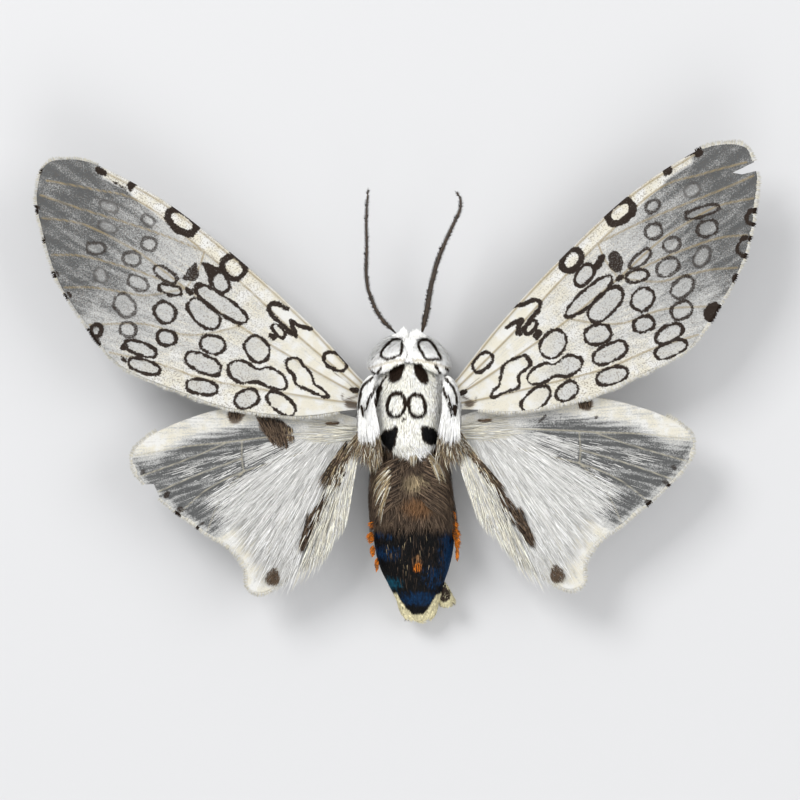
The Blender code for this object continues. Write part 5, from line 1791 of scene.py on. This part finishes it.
@dataclass
class HindwingHair:
    """The long hair that fans from a hindwing's base: white, with a brown lock near its inner edge.

    Its fans are given on the wing, outwards and forwards of its root.
    """

    side: str
    material: Material
    seed: int = 31

    def fans(self) -> list[HairFan]:
        """Returns the fans of both wings, and this wing's own brown lock."""
        pale, warm = (Tint.SILVER, Tint.CHALK, Tint.SILVER), (Tint.CREAM, Tint.CHALK, Tint.BAND)
        roots = ((-1.6, -1.4), (0.2, -1.6), (2.4, -1.4), (4.4, -0.9))
        upper, lower, last = {
            "left": ((((-1.1, -1.9), (0.1, -1.3)), ((1.1, -7.2), (3.2, -6.0))),
                     (((1.5, -6.6), (2.0, -6.4)), ((2.9, -10.8), (4.4, -10.1))),
                     (((2.6, -9.0), (3.9, -8.5)), ((4.6, -13.5), (5.1, -13.3)))),
            "right": ((((-1.2, -1.9), (-0.6, -1.7)), ((2.2, -7.4), (3.3, -6.9))),
                      (((1.4, -5.6), (1.9, -5.4)), ((3.3, -10.9), (4.9, -10.1))),
                      (((2.9, -8.7), (4.3, -8.1)), ((5.4, -13.3), (5.9, -13.0)))),
        }[self.side]
        margin = {
            "left": ((-0.9, -5.0), (-0.34, -7.2), (-0.14, -10.1), (1.2, -12.2), (2.3, -14.2), (3.3, -15.4),
                     (5.6, -16.7)),
            "right": ((-1.3, -5.0), (-0.66, -7.4), (0.2, -10.1), (1.8, -12.0), (3.4, -14.3), (4.0, -15.6),
                      (6.1, -16.9)),
        }[self.side]
        earth = (Tint.BROWN,)
        brown, dark = (Tint.BROWN, Tint.TAN, Tint.BROWN, Tint.DARK_BROWN), (Tint.BROWN, Tint.DARK_BROWN,
            Tint.BROWN)
        fans = [
            HairFan(roots, ((2.8, -13.4), (6.2, -17.3), (9.4, -17.0), (11.0, -13.6), (13.0, -10.8),
                (16.0, -8.0)), 5200, (2.0, 4.6), (0.02, 0.038), pale, (-0.05, 0.8), (0.03, 0.35), 46, 0.5,
                0.012, 0.2, soft=1.25),
            HairFan(((2.0, -1.4), (4.4, -0.9), (6.5, -0.8)), ((12.0, -11.0), (16.0, -8.0), (20.0, -4.5)),
                1000, (1.4, 3.4), (0.014, 0.028), pale, (-0.15, 0.8), (0.03, 0.15), 24, 0.3, 0.02,
                soft=1.4),
            HairFan(((-2.4, 0.4), (-2.2, -1.0)), ((5.5, 1.2), (5.0, -1.6)), 420, (1.4, 4.2), (0.02, 0.04),
                warm, (0.0, 0.6), (0.03, 0.35), 8, 0.5, soft=1.5),
            HairFan(((-2.0, -0.8), (-1.4, -1.6), (0.0, -2.0)), margin, 4200, (1.6, 4.4), (0.022, 0.042),
                warm, (-0.02, 0.82), (0.1, 0.9), 18, 0.8, 0.035),
            HairFan(*upper, 420, (0.9, 2.6), (0.03, 0.055), brown, (-0.05, 0.7), (0.5, 1.0), 5, 0.4, 0.12,
                0.35, soft=1.6),
            HairFan(*lower, 260, (0.9, 2.0), (0.022, 0.04), dark, (-0.05, 0.75), (0.5, 0.9), 5, 0.4, 0.08,
                0.35, soft=1.5),
            HairFan(*last, 260, (0.9, 2.0), (0.022, 0.04), dark, (0.0, 0.75), (0.5, 0.9), 4, 0.5, 0.08,
                0.35, soft=1.5, reach=(0.7, 1.0)),
            HairFan(((-0.4, -4.0), (1.4, -4.2)), ((2.6, -12.0), (5.6, -14.0)), 80, (1.2, 3.0),
                (0.022, 0.04), warm, (0.0, 0.7), (0.9, 1.1), 7, 0.7, 0.08, 0.1),
            HairFan(((6.9, -15.7), (7.4, -14.9), (8.2, -15.1)), ((7.1, -16.3), (7.9, -17.0), (8.6, -16.2)),
                230, (0.3, 0.8), (0.016, 0.03), earth, (-0.25, 0.6), (0.33, 0.45), 6, 0.2, 0.08, 0.25,
                reach=(0.6, 1.1)),
            HairFan(((0.7, 0.85), (0.7, 0.5)), ((2.5, 0.9), (2.5, 0.45)), 70, (0.5, 1.2), (0.016, 0.03),
                earth, (-0.1, 0.6), (0.38, 0.45), 2, 0.2, 0.12, 0.3, soft=2.2, reach=(0.6, 1.0)),
            HairFan(((12.4, 2.6), (10.9, 2.6)), ((12.2, 0.7), (11.2, 0.7)), 160, (0.4, 0.8), (0.02, 0.04),
                dark, (0.0, 0.6), (0.05, 0.15), 3, 0.2, 0.04, 0.3),
        ]
        if self.side == "left":
            fans.append(HairFan(((6.5, 1.1), (9.6, 1.7)), ((5.9, -2.6), (7.3, -2.4)), 420, (0.7, 1.7),
                (0.025, 0.045),
                                dark, (0.0, 0.6), (0.1, 0.4), 7, 0.4, 0.06, 0.3))
            fans.append(HairFan(((5.6, 0.4), (6.8, 1.0)), ((5.2, -1.7), (6.3, -2.4)), 140, (0.5, 1.1),
                (0.02, 0.04),
                                brown, (0.0, 0.5), (0.1, 0.3), 4, 0.4, 0.06, 0.3))
        return fans

    def build(self) -> None:
        """Builds the hair on the wing's own sheet: the fan of its middle, and the locks about it."""
        form = hindwing(self.side)
        fans = self.fans()
        for name, first, last in (("hair", 0, 3), ("locks", 3, len(fans))):
            tufts = Tufts(f"hindwing_{name}_{self.side}", self.material)
            for k, fan in enumerate(fans[first:last], first):
                roots, tips = (self.on_sheet(form, line) for line in (fan.roots, fan.tips))
                replace(fan, roots=roots, tips=tips).grow(tufts, form, self.seed + k)
            tufts.build()

    @staticmethod
    def on_sheet(form: WingForm, line: tuple) -> tuple:
        """Returns a line on the wing as a line in the frame."""
        places = form.to_frame(np.array(line))
        return tuple(map(tuple, np.concatenate([places, form.height(places)[:, None]], -1)))


@dataclass
class Feelers:
    """The two long antennae, ringed into short joints and set with fine bristles."""

    material: Material
    bristle: Material
    paths: dict = field(default_factory=lambda: {
        "left": (
            (-1.35, 8.05, 6.2), (-2.9, 9.6, 6.6), (-3.8, 11.3, 6.8), (-4.45, 13.6, 7.0), (-4.45, 17.6, 7.3),
            (-4.5, 20.0, 7.4), (-4.3, 23.4, 7.5),
        ),
        "right": (
            (1.35, 8.05, 6.2), (1.9, 10.6, 6.6), (2.3, 13.0, 6.8), (3.2, 16.2, 7.0), (4.6, 19.4, 7.3),
            (5.4, 21.2, 7.4), (5.3, 22.4, 7.4), (4.8, 23.05, 7.5),
        ),
    })
    radii: dict = field(default_factory=lambda: {
        "left": (0.2, 0.17, 0.15, 0.13, 0.11, 0.08), "right": (0.28, 0.26, 0.22, 0.18, 0.14, 0.09),
    })
    joint: float = 0.3
    length: float = 15.5
    bristle_count: int = 1100

    def build(self) -> None:
        """Builds both feelers."""
        joints = self.length / self.joint
        for side, path in self.paths.items():
            form = SweptForm(path, self.radii[side])

            def place(t: Array, angle: Array) -> Array:
                """Places the feeler, swollen at the end of each joint."""
                swell = 0.025 * np.abs(np.sin(math.pi * joints * t)) - 0.015
                return form.place(t, angle, swell)

            mesh = joined(f"feeler_{side}", ball_form(320, 14, place))
            piece = finished(f"feeler_{side}", mesh, self.material)
            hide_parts(f"antenna_{side}")
            self.bristles(side, form)

    def bristles(self, side: str, form: SweptForm) -> None:
        """Sets the short bristles along both sides of a feeler.

        Args:
            side: The side's name.
            form: The feeler's form.
        """
        rng, count = np.random.default_rng(5), self.bristle_count
        t = rng.uniform(0.05, 0.98, count)
        angle = np.where(rng.random(count) < 0.5, 0.0, math.pi) + rng.normal(0, 0.6, count)
        root, facing = form.place(t, angle, -0.03), form.facing(t, angle)
        ahead = unit(form.place(t + 0.01, angle) - form.place(t - 0.01, angle))
        steps = np.linspace(0, 1, 3)[None, :, None]
        length = rng.uniform(0.12, 0.3, (count, 1, 1))
        centres = root[:, None] + steps * length * (facing + 0.6 * ahead)[:, None]
        tints = np.broadcast_to(np.array(Tint.DARK_BROWN.value), centres.shape) * rng.uniform(0.5, 1.1,
            (count, 1, 1))
        tufts = Tufts(f"feeler_bristles_{side}", self.bristle)
        roots = np.stack([(angle / math.tau) % 1.0, t], -1) * 0.98 + 0.01
        tufts.add(centres, np.cross(facing, ahead), rng.uniform(0.012, 0.022, count), 0.8, tints, roots)
        tufts.build()


@dataclass
class Legs:
    """The six folded legs, banded black and white, with their claws."""

    material: Material
    claw: Material
    joints: dict = field(default_factory=lambda: {
        "fore": (
            (0.9, 4.0, 1.6), (2.4, 5.6, 2.1), (3.0, 6.5, 1.7), (2.3, 7.4, 0.7), (1.5, 7.9, 0.3),
            (0.7, 8.2, 0.26),
        ),
        "mid": (
            (1.6, 1.6, 1.5), (3.4, 2.3, 2.2), (4.6, 2.2, 1.9), (4.8, 0.4, 1.1), (4.8, -1.2, 0.45),
            (4.7, -3.3, 0.26),
        ),
        "hind": (
            (1.5, -1.7, 1.5), (3.0, -2.8, 2.1), (3.6, -4.0, 1.6), (3.7, -5.8, 0.9), (3.7, -7.8, 0.42),
            (3.6, -11.4, 0.26),
        ),
    })
    radii: tuple[float, ...] = (0.75, 0.62, 0.5, 0.42, 0.26, 0.2)
    band: float = 1.5

    def build(self) -> None:
        """Builds every leg over its plain one."""
        for side_name, side in SIDES.items():
            for name, path in self.joints.items():
                form = SweptForm(mirrored(path, side), self.radii)
                mesh = joined(f"{name}leg", ball_form(90, 20, form.place))
                places = places_of(mesh)
                places[:, 2] = np.maximum(places[:, 2], 0.02)
                mesh.vertices.foreach_set("co", places.astype(np.float32).ravel())
                set_tint(mesh, self.bands(form, places))
                piece = finished(f"{name}leg_{side_name}_dressed", mesh, self.material)
                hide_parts(f"{name}leg_{side_name}")
                claws = finished(f"{name}leg_{side_name}_claws", self.claws(form), self.claw)

    @staticmethod
    def claws(form: SweptForm) -> bpy.types.Mesh:
        """Makes the two small hooked claws at a leg's tip.

        Args:
            form: The leg's form.

        Returns:
            Both claws in one mesh.
        """
        end, before = np.array(form.path[-1]), np.array(form.path[-2])
        ahead = unit((end - before) * (1.0, 1.0, 0.0))
        across = np.cross(ahead, UP)
        hooks = []
        for side in SIDES.values():
            line = [end + a * ahead + side * b * across + (0.0, 0.0, c)
                    for a, b, c in ((-0.1, 0.06, 0.0), (0.18, 0.14, 0.06), (0.36, 0.2, -0.02),
                        (0.44, 0.22, -0.14))]
            hooks.append(ball_form(16, 10,
                SweptForm(tuple(map(tuple, line)), (0.075, 0.07, 0.05, 0.02)).place))
        return joined("claws", *hooks)

    def bands(self, form: SweptForm, places: Array) -> Array:
        """Colours a leg black with white bands.

        Args:
            form: The leg's form.
            places: Places on it.

        Returns:
            Linear colours, one a row.
        """
        line = catmull(form.path, 0.1)
        length = np.concatenate([[0.0], np.cumsum(np.linalg.norm(np.diff(line, axis=0), axis=1))])
        nearest = np.array([int(np.argmin(np.sum((line - p) ** 2, 1))) for p in places])
        at = length[nearest]
        white = smoothstep(0.45, 0.55,
            np.abs(((at + 0.15 * drift(places, 0.4, 1.0)) / self.band) % 1.0 - 0.5) * 2)
        return BodyMarks.blend(np.tile(Tint.BLACK.value, (len(places), 1)), Tint.WHITE, white)


@dataclass
class Eyes:
    """The two round compound eyes."""

    material: Material
    radius: float = 0.84
    place: Triple = (1.78, 6.88, 4.7)

    def build(self) -> None:
        """Builds both eyes over the plain ones."""
        for name, side in SIDES.items():
            bm = bmesh.new()
            bmesh.ops.create_icosphere(bm, subdivisions=5, radius=self.radius)
            bmesh.ops.scale(bm, vec=(0.92, 1.0, 1.04), verts=bm.verts)
            x, y, z = self.place
            bmesh.ops.translate(bm, vec=(side * x, y, z), verts=bm.verts)
            piece = finished(f"eye_{name}_dressed", joined(f"eye_{name}_dressed", bm), self.material)
            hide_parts(f"eye_{name}")


@dataclass
class Studio:
    """The plain floor, soft lights and the camera straight above."""

    floor_half: float = 0.6
    lens: float = 150.0
    sensor: float = 36.0
    centre: Pair = (-0.95, 1.05)
    view_width: float = 84.2
    focus_height: float = 7.0

    def build(self) -> None:
        """Builds the floor, lights, world and camera."""
        bm = bmesh.new()
        bmesh.ops.create_grid(bm, x_segments=1, y_segments=1, size=self.floor_half)
        mesh = joined("floor", bm)
        mesh.materials.append(FloorFinish().build())
        floor = bpy.data.objects.new("floor", mesh)
        bpy.context.scene.collection.objects.link(floor)
        self.light("key", (-0.28, 0.3, 0.42), 0.24, 2.1)
        self.light("fill", (0.34, 0.12, 0.38), 0.34, 0.8)
        self.light("rear", (0.05, -0.36, 0.36), 0.3, 0.65)
        world = bpy.data.worlds.new("studio")
        world.use_nodes = True
        world.node_tree.nodes["Background"].inputs["Color"].default_value = (0.98, 0.99, 1.0, 1.0)
        world.node_tree.nodes["Background"].inputs["Strength"].default_value = 0.62
        bpy.context.scene.world = world
        self.camera()

    @staticmethod
    def light(name: str, place: Triple, size: float, power: float) -> None:
        """Adds one soft square light that looks at the object.

        Args:
            name: Its name.
            place: Where it stands, in metres.
            size: The length of its edge, in metres.
            power: Its power in watts.
        """
        data = bpy.data.lights.new(name, "AREA")
        data.size = size
        data.energy = power
        lamp = bpy.data.objects.new(name, data)
        lamp.location = place
        lamp.rotation_euler = (-Vector(place)).to_track_quat("-Z", "Y").to_euler()
        bpy.context.scene.collection.objects.link(lamp)

    def camera(self) -> None:
        """Adds the camera, looking straight down with the head up the picture."""
        data = bpy.data.cameras.new("camera")
        data.lens = self.lens
        data.sensor_width = self.sensor
        data.clip_start = 0.01
        camera = bpy.data.objects.new("camera", data)
        distance = self.view_width * self.lens / self.sensor
        camera.location = (
            self.centre[0] * MM, self.centre[1] * MM, (self.focus_height + distance) * MM
        )
        bpy.context.scene.collection.objects.link(camera)
        bpy.context.scene.camera = camera
        bpy.context.scene.view_settings.view_transform = "Standard"


def main() -> None:
    """Builds every piece in order."""
    logging.basicConfig(level=logging.INFO, format="%(message)s")
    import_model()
    Studio().build()
    white_hair = HairFinish("white_hair").build()
    brown_hair = HairFinish("brown_hair", roughness=0.6).build()
    glossy = HairFinish("blue_black_scales", roughness=0.5, gloss=0.12).build()
    horn = HornFinish("antenna_horn").build()
    marks = BodyMarks()
    fore_finish = WingFinish("forewing_scales").build()
    hind_finish = WingFinish("hindwing_scales", streaks=1.4, vein=Tint.PALE_VEIN, vein_half=0.14,
        specks=0.1).build()
    fore_marks = {"left": LEFT_FOREWING_MARKS, "right": RIGHT_FOREWING_MARKS}
    hind_marks = {"left": LEFT_HINDWING_MARKS, "right": RIGHT_HINDWING_MARKS}
    tears = {
        "forewing_left": (), "hindwing_right": (),
        "forewing_right": (((33.9, 24.9), (36.6, 26.2), (37.6, 26.4), (37.5, 25.2), (36.5, 25.1),
            (34.9, 24.7)),),
        "hindwing_left": (((-28.4, -7.9), (-26.9, -7.8), (-26.3, -9.1), (-27.6, -9.6)),),
    }
    for side in ("left", "right"):
        WingSheet(
            f"forewing_{side}", forewing(side), fore_marks[side], fore_finish, white_hair, forewing_cover,
            tears=tears[f"forewing_{side}"],
        ).build()
        WingSheet(
            f"hindwing_{side}", hindwing(side), hind_marks[side], hind_finish, white_hair, hindwing_cover,
            columns=190, rows=110, hub=(-2.6, 0.4), tears=tears[f"hindwing_{side}"],
        ).build()
        HindwingHair(side, white_hair).build()
    skin = BodySkin(marks, white_hair)
    skin.build()
    BodyCoat(skin, marks, white_hair, brown_hair, glossy).build()
    Feelers(horn, brown_hair).build()
    Legs(brown_hair, horn).build()
    Eyes(EyeFinish("eye").build()).build()


if __name__ == "__main__":
    main()
